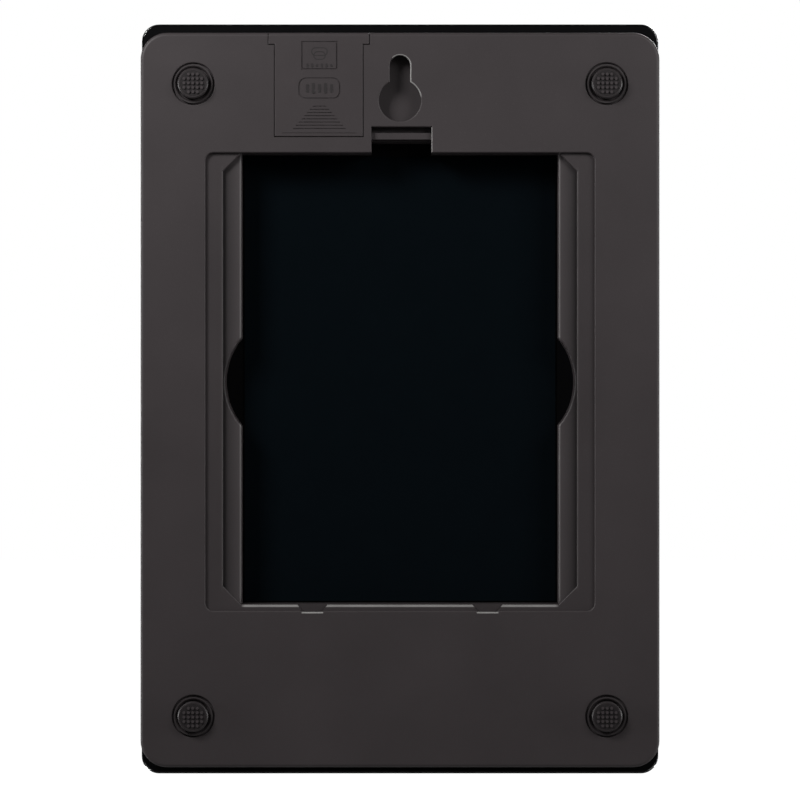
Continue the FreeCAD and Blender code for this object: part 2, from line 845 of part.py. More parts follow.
def make_contacts():
    """The two sprung contacts: a leaf under the cell and a clip against the side of its can."""
    x, z = plain(S.door_offset), plain(S.cell_rise)
    sheet_t, wide = plain(S.contact_sheet), plain(S.contact_width)
    floor = plain(S.door_lip + S.door_groove + S.cell_bay_depth)
    cell_face = plain(S.cell_level + S.cell_depth)
    low = z - plain(S.minus_drop) - wide / 2
    leaf = [
        Vector(x - 7, -floor + sheet_t, low),
        Vector(x - 5, -floor + sheet_t, low),
        Vector(x - 1, -cell_face, low),
        Vector(x + 1, -cell_face, low),
        Vector(x + 5, -floor + sheet_t, low),
        Vector(x + 17.6, -floor + sheet_t, low),
    ]
    set_shape("contact_minus", strip_of(leaf, Vector(0, -sheet_t, 0), Vector(0, 0, wide)))
    side = x + plain(S.cell_radius)
    block = plain(S.back_wall + S.cell_block_depth)
    low = z + plain(S.plus_rise) - wide / 2
    clip = [
        Vector(side + 0.9, -2.3, low),
        Vector(side, -3.7, low),
        Vector(side, -4.3, low),
        Vector(side + 0.9, -5.7, low),
        Vector(side + 0.9, -block - 1.2, low),
    ]
    set_shape("contact_plus", strip_of(clip, Vector(sheet_t, 0, 0), Vector(0, 0, wide)))


# Feet and load cells


def make_foot(corner, sx, sz):
    x, z = sx * S.foot_spread, sz * S.foot_rise
    cup = new_body(f"foot_cup_{corner}")
    place(cup, x, 0, z - S.keyhole_rise)
    flange_top = -(S.back_wall + 0.05)
    flange_low = flange_top - S.foot_flange_depth
    seat = S.foot_height - S.foot_socket_depth
    turned(
        cup,
        f"cup_{corner}",
        [
            (0, -S.load_level),
            (S.foot_stem, -S.load_level),
            (S.foot_stem, flange_low),
            (S.foot_flange, flange_low),
            (S.foot_flange, flange_top),
            (S.foot_radius, flange_top),
            (S.foot_radius, S.foot_height - 0.3),
            (S.foot_radius - 0.3, S.foot_height),
            (S.foot_socket, S.foot_height),
            (S.foot_socket, seat),
            (0, seat),
        ],
    )
    pad_body = new_body(f"foot_pad_{corner}")
    place(pad_body, x, 0, z - S.keyhole_rise)
    face = seat + S.pad_depth
    pad(pad_body, f"pad_disc_{corner}", circle(S.pad_radius), -face, S.pad_depth)
    pad(pad_body, f"pad_dots_{corner}", dot_grid, -face - S.dot_height, S.dot_height + 0.1)
    collar = new_body(f"foot_collar_{corner}")
    place(collar, x, 0, z - S.keyhole_rise)
    inner, outer, height = S.collar_inner, S.collar_outer, S.collar_height
    turned(
        collar,
        f"collar_{corner}",
        [
            (inner, -S.foot_recess_depth),
            (outer, -S.foot_recess_depth),
            (outer, -height),
            (outer - 0.35, -height * 0.3),
            (inner + 0.75, height),
            (inner + 0.35, height),
            (inner, height * 0.2),
        ],
    )


def dot_grid(sketch):
    """Round grip dots on a square grid, kept to those that fit the pad."""
    reach = plain(S.pad_radius - S.dot_radius)
    for row in range(-2, 3):
        for column in range(-2, 3):
            if math.hypot(row, column) * plain(S.dot_pitch) < reach:
                circle(S.dot_radius, column * S.dot_pitch, row * S.dot_pitch)(sketch)


def make_load_cell(corner, sx, sz):
    """A sprung-steel plate with a tongue across its window. The foot's stem bears on the tongue."""
    x, z = sx * S.foot_spread, sz * S.foot_rise
    level, depth = S.load_level, S.load_depth
    blank = slab(f"load_plate_{corner}", S.load_side, S.load_side, level, depth, x, z)
    plate = round_corners(blank, S.load_corner)
    window = slab(f"load_window_{corner}", S.load_window, S.load_window, level, depth, x, z)
    beam_length = S.load_window - S.load_beam_gap
    beam_z = z - sz * S.load_beam_gap / 2
    beam = slab(f"load_beam_{corner}", S.load_beam, beam_length, level, depth, x, beam_z)
    frame = less(f"load_frame_{corner}", plate, [window])
    keep(fused(f"load_cell_{corner}", [frame, beam]), f"load_cell_{corner}")
    gauge_z = z - sz * (S.load_window / 2 - S.gauge_width)
    gauge_level = level + depth
    return slab(f"gauge_{corner}", S.gauge_length, S.gauge_width, gauge_level, S.gauge_depth, x, gauge_z)


def make_holder(corner, sx, sz):
    """The plastic tray between a load cell and the glass, screwed to two bosses."""
    x, z = sx * S.foot_spread, sz * S.foot_rise
    low = S.load_level + 0.05
    side = S.holder_side
    blank = slab(f"holder_block_{corner}", side, side, low, print_level - low, x, z)
    parts = [round_corners(blank, S.holder_corner)]
    tools = []
    ear_x = x - sx * S.holder_ear_reach
    level, depth = S.holder_ear_level, S.holder_ear_depth
    for i in (-1, 1):
        ear_z = z + i * S.holder_ear_spread
        tag = f"{corner}_{'low' if i < 0 else 'high'}"
        arm_x = x - sx * (S.holder_ear_reach + side / 2 - 1) / 2
        arm_length = S.holder_ear_reach - side / 2 + 1
        parts.append(slab(f"holder_arm_{tag}", arm_length, 2 * S.holder_ear, level, depth, arm_x, ear_z))
        parts.append(rod(f"holder_ear_{tag}", S.holder_ear, level, depth, ear_x, ear_z))
        tools.append(rod(f"holder_hole_{tag}", S.board_hole, level, depth, ear_x, ear_z))
    seat = S.load_side + 2 * S.holder_fit
    seat_depth = S.load_level + S.load_depth - low
    seat_room = slab(f"holder_seat_{corner}", seat, seat, low, seat_depth, x, z)
    tools.append(round_corners(seat_room, S.load_corner + S.holder_fit))
    window = S.holder_window
    tools.append(slab(f"holder_window_{corner}", window, window, low, print_level - low, x, z))
    notch, level = S.lead_notch, S.load_level + S.load_depth
    long = side - window
    if sz > 0:
        notch_x, notch_z = x + sx * S.lead_offset, z - side / 2
        tools.append(slab(f"holder_notch_{corner}", notch, long, level, notch, notch_x, notch_z))
    else:
        tools.append(slab(f"holder_notch_{corner}", long, notch, level, notch, x - sx * side / 2, z))
    keep(less(f"load_holder_{corner}", fused(f"holder_body_{corner}", parts), tools), f"load_holder_{corner}")


def screw(tag, level, x, z):
    """A pan-head screw with a cross recess: its head stands on a level, and its shank goes to the back."""
    head = rod(f"screw_head_{tag}", S.screw_head, level, S.screw_head_depth, x, z)
    shank = rod(f"screw_shank_{tag}", S.screw_shank, level - S.screw_length, S.screw_length, x, z)
    body = fused(f"screw_body_{tag}", [head, shank])
    face = level + S.screw_head_depth / 2
    bar = S.screw_head * 1.3
    wide = S.screw_cross
    across = slab(f"screw_slot_a_{tag}", bar, wide, face, S.screw_head_depth, x, z)
    upright = slab(f"screw_slot_b_{tag}", wide, bar, face, S.screw_head_depth, x, z)
    return less(f"screw_{tag}", body, [across, upright])


def make_feet():
    gauges, screws = [], []
    for corner, (sx, sz) in CORNERS.items():
        make_foot(corner, sx, sz)
        gauges.append(make_load_cell(corner, sx, sz))
        make_holder(corner, sx, sz)
        for i in (-1, 1):
            x = sx * (S.foot_spread - S.holder_ear_reach)
            z = sz * S.foot_rise + i * S.holder_ear_spread
            tag = f"{corner}_{'low' if i < 0 else 'high'}"
            screws.append(screw(tag, S.holder_ear_level + S.holder_ear_depth, x, z))
    keep(group("strain_gauges", gauges), "strain_gauges")
    keep(group("holder_screws", screws), "holder_screws")


# The circuit board and display


def make_board():
    z = -S.board_drop
    blank = slab("board_blank", S.board_width, S.board_height, S.board_level, S.board_depth, 0, z)
    holes, screws = [], []
    for corner, (sx, sz) in CORNERS.items():
        x, z = sx * S.board_screw_spread, sz * S.board_screw_rise - S.board_drop
        holes.append(rod(f"board_hole_{corner}", S.board_hole, S.board_level, S.board_depth, x, z))
        screws.append(screw(f"board_{corner}", S.board_level + S.board_depth, x, z))
    keep(less("main_board", blank, holes), "main_board")
    keep(group("board_screws", screws), "board_screws")


def make_chips():
    """The bonded controller under its epoxy dome and the load-cell amplifier, on the board's back."""
    dome = doc.addObject("Part::Cone", "controller_chip")
    dome.Placement = Placement(Vector(), Rotation(Vector(1, 0, 0), -90))
    bind(dome, Radius1=S.dome_foot, Radius2=S.dome_top, Height=S.dome_depth)
    place(dome, -S.dome_offset, -S.board_level, -S.board_drop - S.keyhole_rise)
    keep(dome, "controller_chip")
    level = S.board_level - S.chip_depth
    chip_size = S.chip_width, S.chip_height
    chip = slab("amplifier_chip", *chip_size, level, S.chip_depth, S.chip_offset, -S.board_drop)
    keep(chip, "amplifier_chip")


def make_display():
    """The panel in its frame on the board, the two elastomer strips that feed it, and the touch pads."""
    z = -S.board_drop
    board_face = S.board_level + S.board_depth
    front = print_level - S.tape_depth
    lip = front - S.display_lip
    panel = lip - S.display_depth
    half = S.display_depth / 2
    rear = slab("lcd_rear_glass", S.display_width, S.display_height, panel, half, 0, z)
    face = slab("lcd_front_glass", S.display_width, S.display_top_height, panel + half, half, 0, z)
    keep(fused("lcd_panel", [rear, face]), "lcd_panel")
    frame_width, frame_height = S.display_frame_width, S.display_frame_height
    frame = slab("lcd_frame_block", frame_width, frame_height, board_face, front - board_face, 0, z)
    room_width = S.display_width + 2 * S.holder_fit
    room_height = S.display_height + 2 * S.holder_fit
    room = slab("lcd_frame_room", room_width, room_height, board_face, lip - board_face, 0, z)
    window_width, window_height = S.display_window_width, S.display_window_height
    window = slab("lcd_frame_window", window_width, window_height, lip, S.display_lip, 0, z)
    keep(less("lcd_frame", frame, [room, window]), "lcd_frame")
    for side, name in ((1, "upper"), (-1, "lower")):
        strip_z = z + side * S.zebra_spread
        depth = panel - board_face
        strip = slab(f"zebra_{name}", S.zebra_length, S.zebra_width, board_face, depth, 0, strip_z)
        keep(strip, f"zebra_strip_{name}")
    for side, name in ((-1, "left"), (1, "right")):
        depth = print_level - board_face
        key = rod(f"touch_{name}", S.key_radius, board_face, depth, side * S.key_spread, z)
        keep(key, f"touch_pad_{name}")


# Leads that the housing holds


def route_wire(points, bend):
    """Straight runs joined by tangent arcs, each as large as its two runs and the bend allow."""
    edges, start = [], points[0]
    for before, here, after in zip(points, points[1:], points[2:]):
        run_in, run_out = here - before, after - here
        half_turn = run_in.getAngle(run_out) / 2
        reach = min(0.45 * min(run_in.Length, run_out.Length), bend * math.tan(half_turn))
        radius = reach / math.tan(half_turn)
        toward = Vector(run_out).normalize() - Vector(run_in).normalize()
        first = here - Vector(run_in).normalize() * reach
        last = here + Vector(run_out).normalize() * reach
        centre = here + toward.normalize() * (radius / math.cos(half_turn))
        middle = centre - toward * radius
        edges.append(Part.LineSegment(start, first).toShape())
        edges.append(Part.Arc(first, middle, last).toShape())
        start = last
    edges.append(Part.LineSegment(start, points[-1]).toShape())
    return Part.Wire(edges)


def make_lead(label, radius, points):
    """A round insulated lead along its route. Its volume is compared with section times length."""
    path = route_wire(points, plain(S.lead_bend))
    along = points[1] - points[0]
    section = Part.Wire(Part.makeCircle(radius, points[0], along))
    tube = path.makePipeShell([section], True, False)
    expected = math.pi * radius * radius * path.Length
    if abs(tube.Volume / expected - 1) > 0.02:
        raise ValueError(f"{label} has volume {tube.Volume:.1f}, and its route asks for {expected:.1f}")
    set_shape(label, tube)


def make_power_leads():
    """From the two contacts, past the cell bay, down the right channel and onto the board."""
    r = plain(S.power_lead)
    board_face = plain(S.board_level + S.board_depth)
    board_end = plain(S.board_width) / 2 - 1.6
    channel = plain(S.foot_spread) + 1.5
    beside_bay = 39.9
    below_holder = 74.6
    clip = Vector(plain(S.door_offset + S.cell_radius) + 1.2, -8.3, plain(S.cell_rise + S.plus_rise))
    leaf = Vector(beside_bay, -6.9, plain(S.cell_rise - S.minus_drop) - 1.4)
    plus_start = [clip, Vector(beside_bay, clip.y, clip.z)]
    for name, start, end_z in (("plus", plus_start, -72.4), ("minus", [leaf], -70.8)):
        y = start[0].y
        down = [
            Vector(beside_bay, y, below_holder),
            Vector(channel, y, below_holder),
            Vector(channel, y, -58.0),
            Vector(52.0, y, end_z),
            Vector(board_end, -board_face - r, end_z),
        ]
        make_lead(f"power_lead_{name}", r, start + down)


def make_signal_leads():
    """From each load cell to the board: the upper ones run down the two side channels."""
    r = plain(S.signal_lead)
    on_plate = -plain(S.load_level + S.load_depth) - r
    on_board = -plain(S.board_level + S.board_depth) - r
    board_end = plain(S.board_width) / 2 - 1.6
    spread, rise = plain(S.foot_spread), plain(S.foot_rise)
    channel = spread + 8.0
    for corner, (sx, sz) in CORNERS.items():
        if sz > 0:
            x = sx * (spread + plain(S.lead_offset))
            route = [
                Vector(x, on_plate, rise - 9.4),
                Vector(x, on_plate, rise - 13.5),
                Vector(sx * channel, -7.4, rise - 21.0),
                Vector(sx * channel, -7.4, -60.0),
                Vector(sx * 51.0, on_board, -75.6),
                Vector(sx * board_end, on_board, -75.6),
            ]
        else:
            route = [
                Vector(sx * (spread - 9.4), on_plate, -rise),
                Vector(sx * (spread - 13.0), on_plate, -rise),
                Vector(sx * (spread - 16.0), on_board, -rise),
                Vector(sx * board_end, on_board, -rise),
            ]
        make_lead(f"signal_lead_{corner}", r, route)


# Checks and export


def check_and_export():
    doc.recompute()
    for item in doc.Objects:
        bad = [state for state in item.State if state in ("Invalid", "Error")]
        if bad:
            raise ValueError(f"{item.Name} is {bad}")
        base = getattr(item, "BaseFeature", None)
        if item.isDerivedFrom("PartDesign::Pocket") and item.Shape.Volume > base.Shape.Volume - 1e-6:
            raise ValueError(f"{item.Name} cuts nothing")
    os.makedirs("parts", exist_ok=True)
    for item in nodes:
        shape = item.Shape
        if shape.isNull() or not shape.isValid() or shape.Volume <= 0:
            raise ValueError(f"{item.Label} has no sound shape")
        shape.exportStep(f"parts/{item.Label}.step")
        box = shape.BoundBox
        print(f"{item.Label:32s} solids {len(shape.Solids)} volume {shape.Volume:10.1f}"
              f" x {box.XMin:.1f} {box.XMax:.1f} y {box.YMin:.2f} {box.YMax:.2f}"
              f" z {box.ZMin:.1f} {box.ZMax:.1f}")


make_housing()
make_glass()
make_print()
make_tape()
make_pocket_tape()
make_insert()
make_door()
make_coin_cell()
make_contacts()
make_feet()
make_board()
make_chips()
make_display()
make_power_leads()
make_signal_leads()
check_and_export()
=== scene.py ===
import math

import bpy
from bpy.props import FloatProperty, FloatVectorProperty, IntProperty, PointerProperty
from bpy.types import Operator, Panel, PropertyGroup
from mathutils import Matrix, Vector


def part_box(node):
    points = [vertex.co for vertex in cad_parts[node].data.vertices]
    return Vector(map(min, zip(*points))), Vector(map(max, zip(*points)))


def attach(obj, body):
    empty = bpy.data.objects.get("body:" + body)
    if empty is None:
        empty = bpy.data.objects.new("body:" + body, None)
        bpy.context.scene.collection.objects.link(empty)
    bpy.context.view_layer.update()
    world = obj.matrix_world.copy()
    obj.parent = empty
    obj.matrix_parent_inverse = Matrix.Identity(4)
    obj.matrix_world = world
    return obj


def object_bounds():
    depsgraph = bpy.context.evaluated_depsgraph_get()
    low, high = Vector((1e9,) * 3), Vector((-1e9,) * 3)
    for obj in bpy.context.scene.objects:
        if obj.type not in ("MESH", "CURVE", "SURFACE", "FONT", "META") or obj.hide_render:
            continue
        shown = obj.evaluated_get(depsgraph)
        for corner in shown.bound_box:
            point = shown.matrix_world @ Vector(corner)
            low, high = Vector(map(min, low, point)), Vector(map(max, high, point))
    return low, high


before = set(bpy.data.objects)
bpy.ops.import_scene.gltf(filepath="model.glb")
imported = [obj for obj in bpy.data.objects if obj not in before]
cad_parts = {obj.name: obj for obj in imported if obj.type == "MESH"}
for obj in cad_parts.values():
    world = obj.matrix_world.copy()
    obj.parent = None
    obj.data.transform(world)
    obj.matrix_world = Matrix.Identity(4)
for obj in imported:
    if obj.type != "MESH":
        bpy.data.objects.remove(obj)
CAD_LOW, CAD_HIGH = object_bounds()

bl_info = {
    "name": "Slim Weighing Photo Frame",
    "version": (1, 0, 0),
    "blender": (4, 5, 0),
    "location": "3D View > Sidebar > Photo Frame",
    "description": "Finishes a slim glass photo frame with a scale in it around its fixed CAD parts",
    "category": "Object",
}

MM = 0.001

# CAD pieces that the new pieces and the finishes are placed by
DOOR_LOW, DOOR_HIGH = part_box("battery_door")
GLASS_LOW, GLASS_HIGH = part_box("front_glass")
HOUSING_LOW, HOUSING_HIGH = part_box("rear_housing")
PANEL_LOW, PANEL_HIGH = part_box("lcd_panel")
CELL_LOW, CELL_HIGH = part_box("coin_cell")
CARD_LOW, CARD_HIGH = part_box("insert_card")
MIDDLE_Z = (HOUSING_LOW.z + HOUSING_HIGH.z) / 2
PAD_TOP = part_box("foot_pad_upper_left")[1].y
CORNERS = ("upper_left", "upper_right", "lower_left", "lower_right")

# The pocket is a little larger than the card that fills it
CARD_GAP = 0.5 * MM
POCKET_SIDE = CARD_HIGH.x + CARD_GAP
POCKET_FOOT = CARD_LOW.z - CARD_GAP
STRIP_WIDTH = 5.15 * MM
STRIP_LEVEL = -2.6 * MM
SEAT_LEVEL = -1.2 * MM
LATCH_SIDE = -8.9 * MM

# The keyhole round the origin: its two radii, and how far up the slot's own centre lies
ENTRY_RADIUS, SLOT_RADIUS = 5.95 * MM, 2.9 * MM
SLOT_END = 9.9 * MM

# Shares of the housing's tint; the door marks' low share is a painted shade that darkens them
DOOR_TONE, MARK_SHADE_TONE, CUP_TONE, PAD_TONE, COLLAR_TONE = 1.04, 0.5, 0.62, 0.42, 0.85

# How strongly each rim of the housing is painted paler, as painted highlight and rubbed wear, and how
# strongly the strips get their painted shade and painted highlight
LATCH_HIGHLIGHT_AND_WEAR, FOOT_HIGHLIGHT_AND_WEAR, STRIP_HIGHLIGHT_AND_WEAR, SEAT_HIGHLIGHT_AND_WEAR = 0.6, 0.75, 0.22, 0.05
STRIP_PAINTED_SHADE, STRIP_PAINTED_HIGHLIGHT = 0.75, 0.18

# Name, whether it points above the frame, offset from the frame's middle, side in metres, power in watts
LIGHTS = (
    ("key_light", True, (0.33, 0.34, 0.34), 0.2, 2.02),
    ("fill_light", True, (-0.36, 0.36, 0.29), 0.28, 1.08),
    ("glass_key_light", False, (-0.45, -0.75, 0.45), 0.5, 9.0),
    ("glass_fill_light", False, (0.6, -0.8, 0.1), 0.4, 4.0),
    ("left_edge_light", False, (0.9, 0.05, 0.0), 0.35, 2.8),
    ("right_edge_light", False, (-0.9, 0.05, 0.0), 0.35, 2.5),
)
SKY_STRENGTH = 0.055
FLOOR_SIDE = 8.0
SENSOR = 36.0


# Settings a user would change


class PlasticSettings(PropertyGroup):
    tint: FloatVectorProperty(
        name="Housing tint",
        description="Base colour of the moulded housing and its door",
        subtype="COLOR",
        size=3,
        min=0.0,
        max=1.0,
        default=(0.050, 0.0415, 0.0435),
    )
    grain: FloatProperty(
        name="Grain size",
        description="Width of one pit in the moulded texture",
        default=0.12 * MM,
        min=0.02 * MM,
        unit="LENGTH",
        subtype="DISTANCE",
    )
    grain_depth: FloatProperty(
        name="Grain depth",
        description="How deep the moulded texture looks",
        default=0.012 * MM,
        min=0.0,
        unit="LENGTH",
        subtype="DISTANCE",
    )


class DoorMarkSettings(PropertyGroup):
    relief: FloatProperty(
        name="Relief",
        description="How far the moulded marks stand above the door",
        default=0.07 * MM,
        min=0.02 * MM,
        unit="LENGTH",
        subtype="DISTANCE",
    )
    line: FloatProperty(
        name="Line width",
        description="Width of a moulded outline",
        default=0.42 * MM,
        min=0.1 * MM,
        unit="LENGTH",
        subtype="DISTANCE",
    )


class DisplaySettings(PropertyGroup):
    digit_height: FloatProperty(
        name="Digit height",
        description="Height of one seven-segment digit",
        default=10.0 * MM,
        min=2.0 * MM,
        unit="LENGTH",
        subtype="DISTANCE",
    )
    digit_count: IntProperty(name="Digits", description="Digits side by side", default=4, min=1, max=8)
    key_ring: FloatProperty(
        name="Touch ring",
        description="Outer radius of the ring printed round each touch key",
        default=4.6 * MM,
        min=2.0 * MM,
        unit="LENGTH",
        subtype="DISTANCE",
    )


class StageSettings(PropertyGroup):
    distance: FloatProperty(
        name="Camera distance",
        description="From the camera to the back of the housing",
        default=1.0,
        min=0.2,
        unit="LENGTH",
        subtype="DISTANCE",
    )
    field: FloatProperty(
        name="Field",
        description="Width of the square view at the back of the housing",
        default=0.2264,
        min=0.05,
        unit="LENGTH",
        subtype="DISTANCE",
    )
    feather: FloatProperty(
        name="Feather",
        description="How far above the frame the main lights point, so that its foot gets less of them",
        default=0.32,
        min=0.0,
        unit="LENGTH",
        subtype="DISTANCE",
    )
    floor_drop: FloatProperty(
        name="Floor drop",
        description="How far the floor lies below the hanging frame",
        default=0.12,
        min=0.0,
        unit="LENGTH",
        subtype="DISTANCE",
    )


def settings():
    return bpy.context.scene.photo_frame


class FrameSettings(PropertyGroup):
    plastic: PointerProperty(type=PlasticSettings, name="Plastic", description="Moulded plastic")
    marks: PointerProperty(type=DoorMarkSettings, name="Door marks", description="Moulded marks on the door")
    display: PointerProperty(type=DisplaySettings, name="Display", description="Display and touch keys")
    stage: PointerProperty(type=StageSettings, name="Stage", description="Camera, floor and light")


# Node groups for the finishes


class Graph:
    """Short calls for adding and wiring nodes in one tree."""

    def __init__(self, tree):
        self.tree = tree

    def add(self, kind, **values):
        node = self.tree.nodes.new(kind)
        for name, value in values.items():
            setattr(node, name, value)
        return node

    def wire(self, source, target):
        self.tree.links.new(source, target)

    def feed(self, target, value):
        """Wires a socket, or sets a constant on the target socket itself."""
        if isinstance(value, bpy.types.NodeSocket):
            self.wire(value, target)
        else:
            target.default_value = value

    def math(self, operation, first, second):
        node = self.add("ShaderNodeMath", operation=operation)
        self.feed(node.inputs[0], first)
        self.feed(node.inputs[1], second)
        return node.outputs[0]

    def blend(self, factor, first, second):
        node = self.add("ShaderNodeMix", data_type="RGBA")
        self.feed(node.inputs["Factor"], factor)
        self.feed(node.inputs["A"], first)
        self.feed(node.inputs["B"], second)
        return node.outputs["Result"]

    def spread(self, value, low, high):
        """Carries a 0 to 1 value to the range low to high."""
        node = self.add("ShaderNodeMapRange")
        self.feed(node.inputs["Value"], value)
        self.feed(node.inputs["To Min"], low)
        self.feed(node.inputs["To Max"], high)
        return node.outputs["Result"]

    def band(self, value, low, high, soft):
        """One between low and high, falling to nothing over a soft distance at each side."""
        rising = self.ramp(value, low - soft, low)
        falling = self.add("ShaderNodeMapRange")
        self.feed(falling.inputs["Value"], value)
        falling.inputs["From Min"].default_value = high
        falling.inputs["From Max"].default_value = high + soft
        falling.inputs["To Min"].default_value = 1.0
        falling.inputs["To Max"].default_value = 0.0
        return self.math("MULTIPLY", rising, falling.outputs["Result"])

    def all_of(self, *masks):
        result = masks[0]
        for mask in masks[1:]:
            result = self.math("MULTIPLY", result, mask)
        return result

    def any_of(self, *masks):
        result = masks[0]
        for mask in masks[1:]:
            result = self.math("MAXIMUM", result, mask)
        return result

    def box(self, place, *spans):
        """One inside a box, given along each axis by its low side, high side and soft distance."""
        return self.all_of(*(self.band(value, *span) for value, span in zip(place, spans)))

    def absolute(self, value):
        return self.math("ABSOLUTE", value, 0.0)

    def axes(self, place):
        parts = self.add("ShaderNodeSeparateXYZ")
        self.wire(place, parts.inputs[0])
        return [parts.outputs[axis] for axis in "XYZ"]

    def ramp(self, value, low, high):
        """Carries the range low to high to 0 to 1."""
        node = self.add("ShaderNodeMapRange")
        self.feed(node.inputs["Value"], value)
        node.inputs["From Min"].default_value = low
        node.inputs["From Max"].default_value = high
        return node.outputs["Result"]

    def length(self, first, second):
        squares = [self.math("MULTIPLY", v, v) for v in (first, second)]
        return self.math("SQRT", self.math("ADD", *squares), 0.0)

    def noise(self, place, scale, detail, roughness=0.5):
        node = self.add("ShaderNodeTexNoise")
        self.feed(node.inputs["Vector"], place)
        self.feed(node.inputs["Scale"], scale)
        node.inputs["Detail"].default_value = detail
        node.inputs["Roughness"].default_value = roughness
        return node.outputs["Fac"]


def start_group(name, inputs, outputs):
    """A new node group with float or vector inputs and named outputs."""
    tree = bpy.data.node_groups.new(name, "ShaderNodeTree")
    for label, kind, value in inputs:
        socket = tree.interface.new_socket(name=label, in_out="INPUT", socket_type=kind)
        if value is not None:
            socket.default_value = value
    for label, kind in outputs:
        tree.interface.new_socket(name=label, in_out="OUTPUT", socket_type=kind)
    graph = Graph(tree)
    entry, leave = graph.add("NodeGroupInput"), graph.add("NodeGroupOutput")
    return tree, graph, entry.outputs, leave.inputs


def grain_group():
    """Spark-eroded mould texture: fine pits, flecks, and slow patches of tone and gloss."""
    if "Moulded Grain" in bpy.data.node_groups:
        return bpy.data.node_groups["Moulded Grain"]
    tree, graph, given, wanted = start_group(
        "Moulded Grain",
        [("Place", "NodeSocketVector", None), ("Pits", "NodeSocketFloat", 8000.0)],
        [("Height", "NodeSocketFloat"), ("Patch", "NodeSocketFloat"), ("Fleck", "NodeSocketFloat")],
    )
    fine = graph.noise(given["Place"], given["Pits"], 2.0, 0.6)
    cells = graph.add("ShaderNodeTexVoronoi", feature="SMOOTH_F1")
    graph.wire(given["Place"], cells.inputs["Vector"])
    graph.wire(graph.math("MULTIPLY", given["Pits"], 0.55), cells.inputs["Scale"])
    height = graph.math("ADD", graph.math("MULTIPLY", fine, 0.6), cells.outputs["Distance"])
    graph.wire(height, wanted["Height"])
    slow = graph.noise(given["Place"], 26.0, 4.0, 0.62)
    graph.wire(slow, wanted["Patch"])
    graph.wire(graph.noise(given["Place"], 900.0, 3.0, 0.7), wanted["Fleck"])
    return tree


def scratch_group():
    """Fine lines drawn out along one direction, for brushed and rolled metal."""
    if "Drawn Lines" in bpy.data.node_groups:
        return bpy.data.node_groups["Drawn Lines"]
    tree, graph, given, wanted = start_group(
        "Drawn Lines",
        [
            ("Place", "NodeSocketVector", None),
            ("Stretch", "NodeSocketVector", (40.0, 4000.0, 4000.0)),
        ],
        [("Height", "NodeSocketFloat"), ("Tone", "NodeSocketFloat")],
    )
    mapped = graph.add("ShaderNodeVectorMath", operation="MULTIPLY")
    graph.wire(given["Place"], mapped.inputs[0])
    graph.wire(given["Stretch"], mapped.inputs[1])
    lines = graph.noise(mapped.outputs[0], 1.0, 4.0, 0.7)
    graph.wire(lines, wanted["Height"])
    graph.wire(graph.noise(mapped.outputs[0], 0.35, 2.0, 0.5), wanted["Tone"])
    return tree


def dust_group():
    """A thin uneven film of dust and handling marks."""
    if "Handling Film" in bpy.data.node_groups:
        return bpy.data.node_groups["Handling Film"]
    tree, graph, given, wanted = start_group(
        "Handling Film",
        [("Place", "NodeSocketVector", None), ("Amount", "NodeSocketFloat", 0.3)],
        [("Mask", "NodeSocketFloat")],
    )
    broad = graph.noise(given["Place"], 14.0, 3.0, 0.6)
    specks = graph.noise(given["Place"], 1600.0, 2.0, 0.5)
    together = graph.math("MULTIPLY", graph.ramp(specks, 0.62, 0.8), broad)
    graph.wire(graph.math("MULTIPLY", together, given["Amount"]), wanted["Mask"])
    return tree


def keyhole_rim_highlight_and_wear(graph, x, y, z, soft):
    """The keyhole's rim along its -X side and over its top: a painted highlight, and wear where the screw
    rubs.
    """
    # Its outline is a round entry joined to an upright slot with a round end
    along = graph.math("MINIMUM", graph.math("MAXIMUM", z, 0.0), SLOT_END)
    from_slot = graph.math("SUBTRACT", graph.length(x, graph.math("SUBTRACT", z, along)), SLOT_RADIUS)
    from_entry = graph.math("SUBTRACT", graph.length(x, z), ENTRY_RADIUS)
    outline = graph.math("MINIMUM", from_slot, from_entry)
    reach = graph.math("SUBTRACT", graph.math("MULTIPLY", z, 0.45), x)
    return graph.all_of(
        graph.band(outline, 0.02 * MM, 0.26 * MM, soft),
        graph.band(y, -0.5 * MM, 0.1 * MM, soft),
        graph.band(reach, 3.6 * MM, 30 * MM, 0.6 * MM),
        graph.band(z, 1.6 * MM, 20 * MM, 0.8 * MM),
    )


